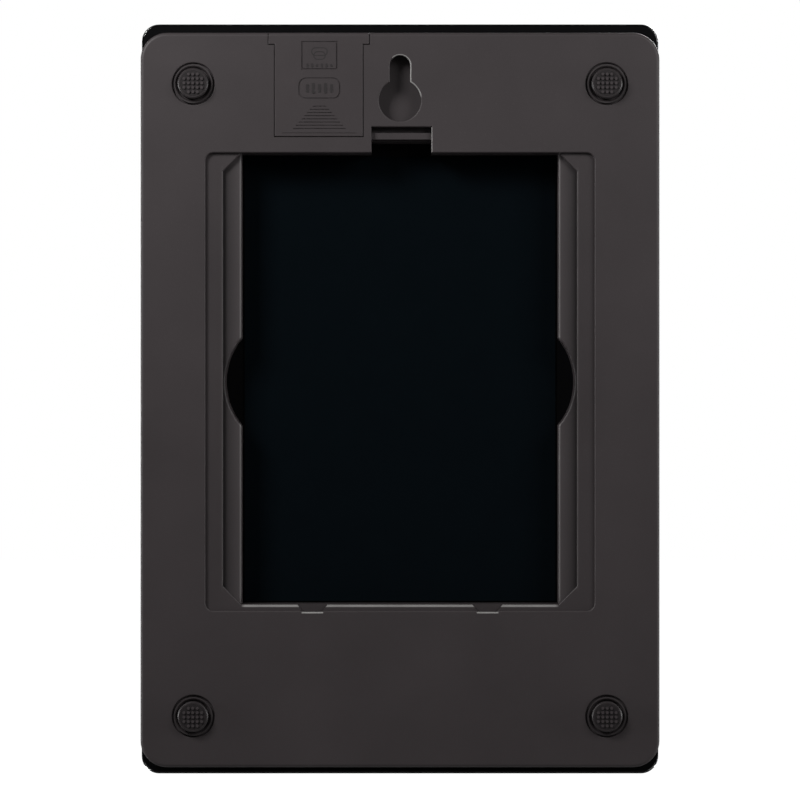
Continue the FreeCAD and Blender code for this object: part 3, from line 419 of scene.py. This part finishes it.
def rim_highlights_and_wear_group():
    """Painted highlights and rubbed wear along the housing's rims: keyhole, latch notch, tab slots, pocket
    foot, strips and seat; and painted shade and highlight across the strips.
    """
    if "Rim Highlights and Wear" in bpy.data.node_groups:
        return bpy.data.node_groups["Rim Highlights and Wear"]
    tree, graph, given, wanted = start_group(
        "Rim Highlights and Wear",
        [("Place", "NodeSocketVector", None)],
        [("Mask", "NodeSocketFloat"), ("Painted Shade", "NodeSocketFloat"), ("Strip Highlight", "NodeSocketFloat")],
    )
    x, y, z = graph.axes(given["Place"])
    both_sides = graph.absolute(x), y, z
    soft = 0.08 * MM
    latch = graph.box(
        (x, y, z),
        (LATCH_SIDE - 0.22 * MM, LATCH_SIDE, soft),
        (-0.5 * MM, 0.1 * MM, soft),
        (CARD_HIGH.z + 0.8 * MM, CARD_HIGH.z + 7.4 * MM, 0.4 * MM),
    )
    foot = graph.box(
        both_sides,
        (0.0, CARD_HIGH.x - 0.5 * MM, 1.0 * MM),
        (SEAT_LEVEL - 0.55 * MM, SEAT_LEVEL + 0.1 * MM, soft),
        (POCKET_FOOT - 0.62 * MM, POCKET_FOOT, soft),
    )
    tab_slots = graph.box(
        both_sides,
        (22.0 * MM, 27.6 * MM, 0.4 * MM),
        (-0.6 * MM, 0.1 * MM, soft),
        (POCKET_FOOT - 2.36 * MM, POCKET_FOOT - 1.98 * MM, soft),
    )
    strips = graph.box(
        both_sides,
        (POCKET_SIDE, POCKET_SIDE + 0.5 * MM, soft),
        (STRIP_LEVEL - 0.6 * MM, STRIP_LEVEL + 0.1 * MM, soft),
        (CARD_LOW.z + 2 * MM, CARD_HIGH.z - 2 * MM, 2 * MM),
    )
    seat = graph.box(
        both_sides,
        (POCKET_SIDE + STRIP_WIDTH, POCKET_SIDE + STRIP_WIDTH + 0.35 * MM, 0.4 * MM),
        (SEAT_LEVEL - 0.5 * MM, SEAT_LEVEL + 0.1 * MM, soft),
        (CARD_LOW.z + 5 * MM, CARD_HIGH.z - 5 * MM, 2 * MM),
    )
    # Paler rims: painted highlights along edges that catch the light, and rubbed wear
    highlight_and_wear = graph.any_of(
        keyhole_rim_highlight_and_wear(graph, x, y, z, soft),
        tab_slots,
        graph.math("MULTIPLY", latch, LATCH_HIGHLIGHT_AND_WEAR),
        graph.math("MULTIPLY", foot, FOOT_HIGHLIGHT_AND_WEAR),
        graph.math("MULTIPLY", strips, STRIP_HIGHLIGHT_AND_WEAR),
        graph.math("MULTIPLY", seat, SEAT_HIGHLIGHT_AND_WEAR),
    )
    patchy = graph.spread(graph.noise(given["Place"], 160.0, 3.0), 0.62, 1.1)
    graph.wire(graph.math("MULTIPLY", highlight_and_wear, patchy), wanted["Mask"])

    # Painted highlight along the strips' inner edges, and painted shade darkening them towards their outer
    # walls
    on_strip = graph.box(
        both_sides,
        (POCKET_SIDE - 0.5 * MM, POCKET_SIDE + STRIP_WIDTH + 0.05 * MM, soft),
        (STRIP_LEVEL - 0.7 * MM, STRIP_LEVEL + 1.1 * MM, soft),
        (CARD_LOW.z - 2 * MM, CARD_HIGH.z + 2 * MM, soft),
    )
    outer = graph.ramp(both_sides[0], POCKET_SIDE + 0.4 * MM, POCKET_SIDE + 5.1 * MM)
    graph.wire(graph.math("MULTIPLY", on_strip, outer), wanted["Painted Shade"])
    graph.wire(graph.math("MULTIPLY", on_strip, graph.math("SUBTRACT", 1.0, outer)), wanted["Strip Highlight"])
    return tree


def start_material(name, roughness=0.5, metallic=0.0):
    material = bpy.data.materials.new(name)
    material.use_nodes = True
    graph = Graph(material.node_tree)
    shader = next(n for n in material.node_tree.nodes if n.type == "BSDF_PRINCIPLED")
    shader.inputs["Roughness"].default_value = roughness
    shader.inputs["Metallic"].default_value = metallic
    place = graph.add("ShaderNodeTexCoord").outputs["Object"]
    return material, graph, shader, place


def use_group(graph, group, place, **values):
    node = graph.add("ShaderNodeGroup", node_tree=group)
    graph.wire(place, node.inputs["Place"])
    for name, value in values.items():
        graph.feed(node.inputs[name], value)
    return node.outputs


def bump(graph, shader, height, distance, strength=1.0):
    node = graph.add("ShaderNodeBump")
    node.inputs["Distance"].default_value = distance
    node.inputs["Strength"].default_value = strength
    graph.wire(height, node.inputs["Height"])
    graph.wire(node.outputs["Normal"], shader.inputs["Normal"])


def toned(tint, share):
    return tuple(c * share for c in tint)


def shades(colour, low, high):
    """A darker and a lighter version of one colour."""
    return [toned(colour, share) + (1.0,) for share in (low, high)]


def moulded(name, tint, rough_low, rough_high, grain, depth, specular=0.5):
    """Moulded plastic or rubber with its eroded texture, slow patches and a trace of dust."""
    material, graph, shader, place = start_material(name)
    shader.inputs["Specular IOR Level"].default_value = specular
    texture = use_group(graph, grain_group(), place, Pits=1.0 / grain)
    dark, light = shades(tint, 0.76, 1.26)
    base = graph.blend(texture["Patch"], dark, light)
    fleck = graph.spread(texture["Fleck"], 0.0, 0.35)
    base = graph.blend(fleck, base, shades(tint, 0.8, 1.25)[1])
    film = use_group(graph, dust_group(), place, Amount=0.16)
    base = graph.blend(film["Mask"], base, (0.22, 0.21, 0.2, 1.0))
    graph.wire(base, shader.inputs["Base Color"])
    gloss = graph.math("MULTIPLY", graph.math("ADD", texture["Fleck"], texture["Patch"]), 0.5)
    graph.wire(graph.spread(gloss, rough_low, rough_high), shader.inputs["Roughness"])
    bump(graph, shader, texture["Height"], depth)
    return material


def drawn_metal(name, tint, roughness, stretch, depth=0.004 * MM):
    """Bare or plated sheet metal with its drawn or rolled lines."""
    material, graph, shader, place = start_material(name, roughness, 1.0)
    lines = use_group(graph, scratch_group(), place, Stretch=stretch)
    dark, light = shades(tint, 0.82, 1.08)
    graph.wire(graph.blend(lines["Tone"], dark, light), shader.inputs["Base Color"])
    graph.wire(graph.spread(lines["Height"], roughness * 0.75, roughness * 1.35), shader.inputs["Roughness"])
    bump(graph, shader, lines["Height"], depth)
    return material


def plain_film(name, tint, roughness, mottle, depth, specular=0.5):
    """Paper, foam, film, print or insulation: an even colour broken up by a fine mottle."""
    material, graph, shader, place = start_material(name, roughness)
    shader.inputs["Specular IOR Level"].default_value = specular
    fibres = graph.noise(place, mottle, 5.0, 0.65)
    broad = graph.noise(place, mottle * 0.04, 3.0, 0.5)
    mixed = graph.math("MULTIPLY", graph.math("ADD", fibres, broad), 0.5)
    dark, light = shades(tint, 0.85, 1.15)
    graph.wire(graph.blend(mixed, dark, light), shader.inputs["Base Color"])
    graph.wire(graph.spread(mixed, roughness * 0.85, min(1.0, roughness * 1.15)), shader.inputs["Roughness"])
    bump(graph, shader, fibres, depth)
    return material


def glass_plate_material():
    """Clear tempered glass whose rounded rim is lacquered black from behind."""
    material, graph, shader, place = start_material("tempered_glass", 0.02)
    shader.inputs["IOR"].default_value = 1.52
    shader.inputs["Transmission Weight"].default_value = 1.0
    x, _, z = graph.axes(place)
    glass_middle = (GLASS_LOW.z + GLASS_HIGH.z) / 2
    rise = graph.absolute(graph.math("SUBTRACT", z, glass_middle))
    half_width, half_height = GLASS_HIGH.x, GLASS_HIGH.z - glass_middle
    rim_width = 0.9 * MM
    near_side = graph.math("GREATER_THAN", graph.absolute(x), half_width - rim_width)
    near_end = graph.math("GREATER_THAN", rise, half_height - rim_width)
    rim = graph.math("MAXIMUM", near_side, near_end)
    smears = graph.noise(place, 60.0, 4.0, 0.6)
    clear = graph.blend(smears, (0.965, 0.985, 0.975, 1.0), (0.985, 1.0, 0.99, 1.0))
    graph.wire(graph.blend(rim, clear, (0.004, 0.004, 0.005, 1.0)), shader.inputs["Base Color"])
    graph.wire(graph.spread(smears, 0.0, 0.035), shader.inputs["Roughness"])
    return material


def board_material():
    """Green solder mask over copper tracks."""
    material, graph, shader, place = start_material("solder_mask", 0.35)
    mapping = graph.add("ShaderNodeMapping")
    graph.wire(place, mapping.inputs["Vector"])
    mapping.inputs["Rotation"].default_value = (math.radians(90), 0.0, 0.0)
    tracks = graph.add("ShaderNodeTexBrick", offset=0.37, offset_frequency=3)
    graph.wire(mapping.outputs[0], tracks.inputs["Vector"])
    tracks.inputs["Scale"].default_value = 260.0
    tracks.inputs["Mortar Size"].default_value = 0.06
    tracks.inputs["Color1"].default_value = (0.008, 0.10, 0.035, 1.0)
    tracks.inputs["Color2"].default_value = (0.010, 0.13, 0.045, 1.0)
    tracks.inputs["Mortar"].default_value = (0.03, 0.24, 0.08, 1.0)
    mottle = graph.noise(place, 2500.0, 3.0)
    tone = graph.blend(graph.spread(mottle, 0.0, 0.3), tracks.outputs["Color"], (0.004, 0.06, 0.02, 1.0))
    graph.wire(tone, shader.inputs["Base Color"])
    graph.wire(graph.spread(mottle, 0.25, 0.45), shader.inputs["Roughness"])
    bump(graph, shader, tracks.outputs["Fac"], 0.02 * MM, 0.6)
    return material


def zebra_material():
    """Elastomer strip of thin conductive and clear layers."""
    material, graph, shader, place = start_material("layered_elastomer", 0.6)
    wave = graph.add("ShaderNodeTexWave", wave_type="BANDS", bands_direction="X")
    graph.wire(place, wave.inputs["Vector"])
    wave.inputs["Scale"].default_value = 1500.0
    graph.wire(
        graph.blend(wave.outputs["Fac"], (0.02, 0.02, 0.02, 1.0), (0.45, 0.45, 0.42, 1.0)),
        shader.inputs["Base Color"],
    )
    graph.wire(graph.spread(wave.outputs["Fac"], 0.45, 0.75), shader.inputs["Roughness"])
    bump(graph, shader, wave.outputs["Fac"], 0.01 * MM)
    return material


def panel_material():
    """Grey-green display cell with its fine polariser haze."""
    material, graph, shader, place = start_material("display_cell", 0.18)
    haze = graph.noise(place, 900.0, 4.0, 0.6)
    sheen = graph.noise(place, 40.0, 2.0)
    mixed = graph.math("MULTIPLY", graph.math("ADD", haze, sheen), 0.5)
    graph.wire(
        graph.blend(mixed, (0.16, 0.19, 0.155, 1.0), (0.24, 0.27, 0.22, 1.0)), shader.inputs["Base Color"]
    )
    graph.wire(graph.spread(haze, 0.12, 0.26), shader.inputs["Roughness"])
    bump(graph, shader, haze, 0.002 * MM)
    return material


# Modelling helpers


def finish_node(material, *names):
    """Gives CAD nodes their material."""
    for name in names:
        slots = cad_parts[name].data.materials
        slots.clear()
        slots.append(material)


def deselect():
    bpy.ops.object.select_all(action="DESELECT")


def edit_faces(wanted):
    """Goes into edit mode with only the faces that pass a test selected."""
    piece = bpy.context.object
    bpy.ops.object.mode_set(mode="EDIT")
    bpy.ops.mesh.select_mode(type="FACE")
    bpy.ops.mesh.select_all(action="DESELECT")
    bpy.ops.object.mode_set(mode="OBJECT")
    for face in piece.data.polygons:
        face.select = wanted(face)
    bpy.ops.object.mode_set(mode="EDIT")


def edit_edges(wanted):
    """Goes into edit mode with only the edges that pass a test selected."""
    piece = bpy.context.object
    bpy.ops.object.mode_set(mode="EDIT")
    bpy.ops.mesh.select_mode(type="EDGE")
    bpy.ops.mesh.select_all(action="DESELECT")
    bpy.ops.object.mode_set(mode="OBJECT")
    points = piece.data.vertices
    for edge in piece.data.edges:
        first, last = (points[i].co for i in edge.vertices)
        edge.select = wanted(first, last)
    bpy.ops.object.mode_set(mode="EDIT")


def leave_edit():
    bpy.ops.object.mode_set(mode="OBJECT")


def place_in_mesh():
    """Puts the piece's place into its mesh, so that its object sits at the origin."""
    bpy.ops.object.transform_apply(location=True, rotation=True, scale=True)


def runs_along_y(first, last):
    return abs((last - first).y) > 0.9 * (last - first).length


def block(name, centre, size):
    deselect()
    bpy.ops.mesh.primitive_cube_add(size=1.0, location=centre, scale=size)
    piece = bpy.context.object
    piece.name = name
    place_in_mesh()
    return piece


def tablet(name, centre, size, corner, soft):
    """A flat block with round corners seen along Y and a softened rim on its outer face."""
    piece = block(name, centre, size)
    edit_edges(runs_along_y)
    bpy.ops.mesh.bevel(offset=corner, segments=8, affect="EDGES")
    leave_edit()
    if soft:
        edit_faces(lambda face: face.normal.y > 0.9)
        bpy.ops.mesh.inset(thickness=soft)
        bpy.ops.transform.translate(value=(0.0, soft, 0.0))
        leave_edit()
    return piece


def outline(name, centre, size, corner, line):
    """A raised outline: a tablet whose middle is sunk back to just above the face that it stands on."""
    piece = tablet(name, centre, size, corner, 0.0)
    edit_faces(lambda face: face.normal.y > 0.9)
    bpy.ops.mesh.inset(thickness=line)
    bpy.ops.transform.translate(value=(0.0, -size[1] * 0.78, 0.0))
    leave_edit()
    edit_edges(lambda a, b: min(a.y, b.y) > centre[1] + size[1] * 0.49)
    bpy.ops.mesh.bevel(offset=size[1] * 0.22, segments=2, affect="EDGES")
    leave_edit()
    return piece


def ring(name, centre, radius, depth, line, sides):
    """A thin flat ring facing along Y, whose inner edge has no wall."""
    deselect()
    bpy.ops.mesh.primitive_cylinder_add(
        vertices=sides,
        radius=radius,
        depth=depth,
        end_fill_type="NGON",
        location=centre,
        rotation=(math.radians(90), 0.0, 0.0),
    )
    place_in_mesh()
    piece = bpy.context.object
    piece.name = name
    edit_faces(lambda face: abs(face.normal.y) > 0.9)
    bpy.ops.mesh.inset(thickness=line)
    bpy.ops.mesh.delete(type="FACE")
    leave_edit()
    return piece


def join(name, pieces):
    deselect()
    for piece in pieces:
        piece.select_set(True)
    bpy.context.view_layer.objects.active = pieces[0]
    bpy.ops.object.join()
    joined = bpy.context.object
    joined.name = name
    joined.data.name = name
    return joined


def complete(piece, material, body, angle=35.0):
    """Shades a new piece and hands it to the frame."""
    deselect()
    piece.select_set(True)
    bpy.context.view_layer.objects.active = piece
    bpy.ops.object.shade_smooth_by_angle(angle=math.radians(angle))
    piece.data.materials.clear()
    piece.data.materials.append(material)
    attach(piece, body)


# Operators: finishes of the CAD pieces


class FRAME_OT_plastics(Operator):
    """Finish the housing, the door, the feet and the inner trays"""

    bl_idname = "photo_frame.plastics"
    bl_label = "Plastics and Rubber"

    def execute(self, context):
        look = settings().plastic
        tint = tuple(look.tint)
        housing = moulded("housing_plastic", tint, 0.42, 0.58, look.grain, look.grain_depth)
        self.paint_rim_highlights_shade_and_wear(housing)
        finish_node(housing, "rear_housing")
        door = moulded("door_plastic", toned(tint, DOOR_TONE), 0.40, 0.54, look.grain, look.grain_depth)
        finish_node(door, "battery_door")
        # The door marks' darker tone is painted shade
        moulded("door_mark_painted_shade", toned(tint, MARK_SHADE_TONE), 0.45, 0.6, look.grain, look.grain_depth)
        cup = moulded("foot_plastic", toned(tint, CUP_TONE), 0.34, 0.48, look.grain * 1.5, look.grain_depth)
        pad = self.pad_rubber_with_highlights_and_wear(toned(tint, PAD_TONE))
        collar = moulded("collar_rubber", toned(tint, COLLAR_TONE), 0.45, 0.62, 0.2 * MM, 0.015 * MM)
        tray = moulded("natural_plastic", (0.62, 0.61, 0.57), 0.4, 0.55, 0.15 * MM, 0.01 * MM)
        for corner in CORNERS:
            finish_node(cup, f"foot_cup_{corner}")
            finish_node(pad, f"foot_pad_{corner}")
            finish_node(collar, f"foot_collar_{corner}")
            finish_node(tray, f"load_holder_{corner}")
        finish_node(tray, "lcd_frame")
        return {"FINISHED"}

    def paint_rim_highlights_shade_and_wear(self, plastic):
        """Paler and smoother plastic along the rims as painted highlights and rubbed wear, and darker
        plastic along the strips' outer walls as painted shade.
        """
        graph = Graph(plastic.node_tree)
        shader = plastic.node_tree.nodes["Principled BSDF"]
        place = graph.add("ShaderNodeTexCoord").outputs["Object"]
        rims = use_group(graph, rim_highlights_and_wear_group(), place)
        socket = shader.inputs["Base Color"]
        colour = socket.links[0].from_socket
        painted_shade_tone, painted_highlight_tone = (0.012, 0.01, 0.0105, 1.0), (0.17, 0.15, 0.155, 1.0)
        # Painted shade: the strips darken towards their outer walls
        colour = graph.blend(graph.math("MULTIPLY", rims["Painted Shade"], STRIP_PAINTED_SHADE), colour, painted_shade_tone)
        # Painted highlight: the strips lighten towards their inner edges
        colour = graph.blend(graph.math("MULTIPLY", rims["Strip Highlight"], STRIP_PAINTED_HIGHLIGHT), colour, painted_highlight_tone)
        # Painted highlight and rubbed wear along the rims
        graph.wire(graph.blend(rims["Mask"], colour, (0.42, 0.41, 0.4, 1.0)), socket)
        socket = shader.inputs["Roughness"]
        smoother = graph.math("MULTIPLY", rims["Mask"], 0.15)
        graph.wire(graph.math("SUBTRACT", socket.links[0].from_socket, smoother), socket)

    def pad_rubber_with_highlights_and_wear(self, tint):
        """Dark pad rubber whose raised dots are painted paler at their tops: a painted highlight, with
        rubbed wear.
        """
        rubber = moulded("foot_rubber", tint, 0.52, 0.7, 0.2 * MM, 0.02 * MM, 0.35)
        graph = Graph(rubber.node_tree)
        socket = rubber.node_tree.nodes["Principled BSDF"].inputs["Base Color"]
        depth = graph.axes(graph.add("ShaderNodeTexCoord").outputs["Object"])[1]
        # Painted highlight on the dot tops, with rubbed wear
        highlight_and_wear = graph.ramp(depth, PAD_TOP - 0.30 * MM, PAD_TOP - 0.05 * MM)
        paler = toned(tint, 2.7) + (1.0,)
        graph.wire(graph.blend(highlight_and_wear, socket.links[0].from_socket, paler), socket)
        return rubber


class FRAME_OT_glass(Operator):
    """Finish the glass plate, its black print, the tape and the blank card"""

    bl_idname = "photo_frame.glass"
    bl_label = "Glass, Print and Card"

    def execute(self, context):
        finish_node(glass_plate_material(), "front_glass")
        ink = plain_film("black_print", (0.0025, 0.0025, 0.003), 0.45, 5000.0, 0.002 * MM, 0.08)
        finish_node(ink, "glass_print")
        tape = plain_film("foam_tape", (0.004, 0.004, 0.004), 0.85, 7000.0, 0.03 * MM, 0.1)
        finish_node(tape, "glass_tape", "pocket_tape")
        card = plain_film("black_card", (0.0038, 0.0062, 0.0082), 0.9, 3500.0, 0.015 * MM, 0.0)
        finish_node(card, "insert_card")
        return {"FINISHED"}


class FRAME_OT_workings(Operator):
    """Finish the load cells, the board, the display, the coin cell, the leads and the screws"""

    bl_idname = "photo_frame.workings"
    bl_label = "Inner Workings"

    def execute(self, context):
        steel = drawn_metal("spring_steel", (0.56, 0.56, 0.58), 0.3, (60.0, 3000.0, 4200.0))
        lead = plain_film("signal_lead_skin", (0.2, 0.2, 0.22), 0.4, 2500.0, 0.01 * MM)
        for corner in CORNERS:
            finish_node(steel, f"load_cell_{corner}")
            finish_node(lead, f"signal_lead_{corner}")
        finish_node(plain_film("gauge_foil", (0.62, 0.36, 0.12), 0.3, 6000.0, 0.005 * MM), "strain_gauges")
        zinc = drawn_metal("zinc_plate", (0.62, 0.62, 0.6), 0.26, (2600.0, 900.0, 2600.0))
        finish_node(zinc, "holder_screws", "board_screws")
        nickel = drawn_metal("nickel_plate", (0.64, 0.6, 0.52), 0.22, (300.0, 3500.0, 2500.0))
        finish_node(nickel, "contact_minus", "contact_plus")
        finish_node(drawn_metal("cell_can", (0.66, 0.66, 0.66), 0.27, (90.0, 2500.0, 5200.0)), "coin_cell")
        finish_node(board_material(), "main_board")
        epoxy = plain_film("epoxy", (0.012, 0.012, 0.013), 0.3, 1800.0, 0.01 * MM)
        finish_node(epoxy, "controller_chip", "amplifier_chip")
        finish_node(panel_material(), "lcd_panel")
        finish_node(zebra_material(), "zebra_strip_upper", "zebra_strip_lower")
        foam = plain_film("conductive_foam", (0.03, 0.03, 0.032), 0.9, 2500.0, 0.06 * MM)
        finish_node(foam, "touch_pad_left", "touch_pad_right")
        for skin, tint, lead in (
            ("red_skin", (0.38, 0.012, 0.01), "power_lead_plus"),
            ("black_skin", (0.012, 0.012, 0.012), "power_lead_minus"),
        ):
            finish_node(plain_film(skin, tint, 0.38, 2200.0, 0.01 * MM), lead)
        return {"FINISHED"}


# Operators: new pieces


class FRAME_OT_door_symbols(Operator):
    """Mould the plain cell symbol and the row of bars inside the door's two sunk outlines"""

    bl_idname = "photo_frame.door_symbols"
    bl_label = "Door Symbols"

    def execute(self, context):
        look = settings().marks
        relief = look.relief * 2
        middle, face, top = (DOOR_LOW.x + DOOR_HIGH.x) / 2 - 0.2 * MM, DOOR_HIGH.y, DOOR_HIGH.z
        parts = []
        for drop, wide in ((5.4 * MM, 4.6 * MM), (6.5 * MM, 3.4 * MM)):
            centre = (middle, face, top - drop)
            parts.append(outline("cell_disc", centre, (wide, relief, 2.4 * MM), 1.1 * MM, look.line))
        size = 0.62 * MM, relief, 0.25 * MM
        parts += self.bars(6, middle, 1.35 * MM, top - 9.3 * MM, size, (0.8 * MM, 1.1 * MM, 1.1 * MM))
        symbol = join("door_cell_symbol", parts)
        # The marks' darker material is painted shade
        complete(symbol, bpy.data.materials["door_mark_painted_shade"], "battery_door")
        size = 0.85 * MM, relief, 0.35 * MM
        parts = self.bars(5, middle, 1.7 * MM, top - 15.8 * MM, size, (2.4 * MM, 3.0 * MM))
        press = join("door_press_symbol", parts)
        complete(press, bpy.data.materials["door_mark_painted_shade"], "battery_door")
        return {"FINISHED"}

    def bars(self, count, middle, pitch, rise, section, heights):
        """A row of upright bars of one width, relief and corner that take the heights in turn."""
        wide, relief, corner = section
        row = []
        for i in range(count):
            centre = (middle + (i - (count - 1) / 2) * pitch, DOOR_HIGH.y, rise)
            size = (wide, relief, heights[i % len(heights)])
            row.append(tablet("bar", centre, size, corner, 0.03 * MM))
        return row


class FRAME_OT_cell_mark(Operator):
    """Lay a raised plus sign and a thin flat ring on the coin cell's visible face"""

    bl_idname = "photo_frame.cell_mark"
    bl_label = "Coin Cell Mark"

    def execute(self, context):
        middle = (CELL_LOW + CELL_HIGH) / 2
        level = 0.08 * MM
        long, wide = 4.2 * MM, 0.7 * MM
        centre = (middle.x, CELL_HIGH.y, middle.z)
        across = tablet("plus_across", centre, (long, level, wide), 0.2 * MM, level * 0.3)
        upright = tablet("plus_upright", centre, (wide, level * 1.05, long), 0.2 * MM, level * 0.3)
        mark = join("cell_plus_sign", [across, upright])
        complete(mark, bpy.data.materials["cell_can"], "frame")
        rim = (CELL_HIGH.x - CELL_LOW.x) / 2 - 0.5 * MM
        face_ring = ring("cell_face_ring", centre, rim, level, 0.35 * MM, 72)
        complete(face_ring, bpy.data.materials["cell_can"], "frame")
        return {"FINISHED"}


class FRAME_OT_display(Operator):
    """Lay out the display's segments behind the glass"""

    bl_idname = "photo_frame.display"
    bl_label = "Display Segments"

    def execute(self, context):
        look = settings().display
        material, graph, shader, place = start_material("segment_film", 0.4)
        tone = graph.noise(place, 2500.0, 3.0)
        colour = graph.blend(tone, (0.035, 0.042, 0.035, 1.0), (0.06, 0.07, 0.058, 1.0))
        graph.wire(colour, shader.inputs["Base Color"])
        graph.wire(graph.spread(tone, 0.3, 0.5), shader.inputs["Roughness"])
        middle = (PANEL_LOW + PANEL_HIGH) / 2
        film = 0.02 * MM
        face = PANEL_LOW.y - film
        tall = look.digit_height
        wide, stroke = tall * 0.5, tall * 0.11
        pitch = wide * 1.55
        bars = []
        for i in range(look.digit_count):
            x = middle.x + (i - (look.digit_count - 1) / 2) * pitch
            for level in (-1, 0, 1):
                centre = (x, face, middle.z + level * (tall - stroke) / 2)
                size = (wide - 1.3 * stroke, film, stroke)
                bars.append(tablet("bar", centre, size, stroke * 0.35, 0.0))
            for side in (-1, 1):
                for half in (-1, 1):
                    centre = (x + side * (wide - stroke) / 2, face, middle.z + half * (tall - stroke) / 4)
                    size = (stroke, film, (tall - stroke) / 2 - 0.35 * stroke)
                    bars.append(tablet("bar", centre, size, stroke * 0.35, 0.0))
        segments = join("display_segments", bars)
        complete(segments, material, "frame")
        return {"FINISHED"}


class FRAME_OT_touch_marks(Operator):
    """Print the two touch-key marks on the back of the glass"""

    bl_idname = "photo_frame.touch_marks"
    bl_label = "Touch Marks"

    def execute(self, context):
        look = settings().display
        ink = plain_film("grey_ink", (0.42, 0.42, 0.41), 0.5, 6000.0, 0.002 * MM)
        depth = 0.03 * MM
        long, stroke = 3.2 * MM, 0.5 * MM
        for name in ("left", "right"):
            low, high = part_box(f"touch_pad_{name}")
            middle = (low + high) / 2
            centre = (middle.x, GLASS_HIGH.y - depth, middle.z)
            parts = [ring(f"touch_ring_{name}", centre, look.key_ring, depth, 0.45 * MM, 64)]
            parts.append(tablet("stroke", centre, (long, depth, stroke), 0.2 * MM, 0.0))
            if name == "right":
                parts.append(tablet("stroke", centre, (stroke, depth * 1.1, long), 0.2 * MM, 0.0))
            mark = join(f"touch_mark_{name}", parts)
            complete(mark, ink, "frame")
        return {"FINISHED"}


class FRAME_OT_stage(Operator):
    """Set up the floor, the soft lights and the camera"""

    bl_idname = "photo_frame.stage"
    bl_label = "Stage"

    def execute(self, context):
        look = settings().stage
        scene = context.scene
        scene.view_settings.view_transform = "Standard"
        self.add_floor(look)
        self.add_sky(scene)
        aim = Vector((0.0, HOUSING_HIGH.y, MIDDLE_Z))
        for name, feathered, offset, size, power in LIGHTS:
            target = aim + Vector((0.0, 0.0, look.feather if feathered else 0.0))
            self.add_softbox(name, aim + Vector(offset), target, size, power)
        deselect()
        bpy.ops.object.camera_add(
            location=aim + Vector((0.0, look.distance, 0.0)),
            rotation=(math.radians(90), 0.0, math.radians(180)),
        )
        camera = context.object
        camera.data.sensor_width = SENSOR
        camera.data.lens = SENSOR * look.distance / look.field
        camera.data.clip_start = 0.01
        scene.camera = camera
        return {"FINISHED"}

    def add_floor(self, look):
        """White to the camera, and grey to the lights so that it throws little of them back."""
        deselect()
        bpy.ops.mesh.primitive_plane_add(size=FLOOR_SIDE, location=(0.0, 0.0, CAD_LOW.z - look.floor_drop))
        floor = bpy.context.object
        floor.name = "studio_floor"
        material, graph, shader, place = start_material("pale_floor", 0.9)
        tone = graph.noise(place, 3.0, 4.0)
        graph.wire(
            graph.blend(tone, (0.16, 0.16, 0.16, 1.0), (0.2, 0.2, 0.2, 1.0)), shader.inputs["Base Color"]
        )
        shader.inputs["Emission Color"].default_value = (1.0, 1.0, 1.0, 1.0)
        seen = graph.add("ShaderNodeLightPath").outputs["Is Camera Ray"]
        graph.wire(seen, shader.inputs["Emission Strength"])
        floor.data.materials.append(material)

    def add_sky(self, scene):
        """White to the camera and softer as a light, so that the background stays clean."""
        world = bpy.data.worlds.new("white_room")
        world.use_nodes = True
        scene.world = world
        graph = Graph(world.node_tree)
        shader = next(n for n in world.node_tree.nodes if n.type == "BACKGROUND")
        seen = graph.add("ShaderNodeLightPath").outputs["Is Camera Ray"]
        shader.inputs["Color"].default_value = (1.0, 1.0, 1.0, 1.0)
        graph.wire(graph.spread(seen, SKY_STRENGTH, 1.0), shader.inputs["Strength"])

    def add_softbox(self, name, place, target, size, power):
        """A square light turned to a target, which may lie past the frame so that its edge feathers."""
        deselect()
        turn = (target - place).to_track_quat("-Z", "Y").to_euler()
        bpy.ops.object.light_add(type="AREA", location=place, rotation=turn)
        light = bpy.context.object
        light.name = name
        light.data.shape = "SQUARE"
        light.data.size = size
        light.data.energy = power


class FRAME_PT_sidebar(Panel):
    """Lists the settings and the steps in the order in which they run"""

    bl_label = "Photo Frame"
    bl_idname = "FRAME_PT_sidebar"
    bl_space_type = "VIEW_3D"
    bl_region_type = "UI"
    bl_category = "Photo Frame"

    def draw(self, context):
        look = settings()
        for heading, group in (
            ("Plastic", look.plastic),
            ("Door marks", look.marks),
            ("Display", look.display),
            ("Stage", look.stage),
        ):
            box = self.layout.box()
            box.label(text=heading)
            for name in group.bl_rna.properties.keys():
                if name not in ("rna_type", "name"):
                    box.prop(group, name)
        for step in STEPS:
            self.layout.operator(step.bl_idname)


STEPS = (
    FRAME_OT_stage,
    FRAME_OT_plastics,
    FRAME_OT_glass,
    FRAME_OT_workings,
    FRAME_OT_door_symbols,
    FRAME_OT_cell_mark,
    FRAME_OT_display,
    FRAME_OT_touch_marks,
)
GROUPS = (PlasticSettings, DoorMarkSettings, DisplaySettings, StageSettings, FrameSettings)


def register():
    for item in GROUPS + STEPS + (FRAME_PT_sidebar,):
        bpy.utils.register_class(item)
    bpy.types.Scene.photo_frame = PointerProperty(type=FrameSettings)


def unregister():
    del bpy.types.Scene.photo_frame
    for item in reversed(GROUPS + STEPS + (FRAME_PT_sidebar,)):
        bpy.utils.unregister_class(item)


def main():
    register()
    for step in STEPS:
        family, name = step.bl_idname.split(".")
        getattr(getattr(bpy.ops, family), name)()


if __name__ == "__main__":
    main()
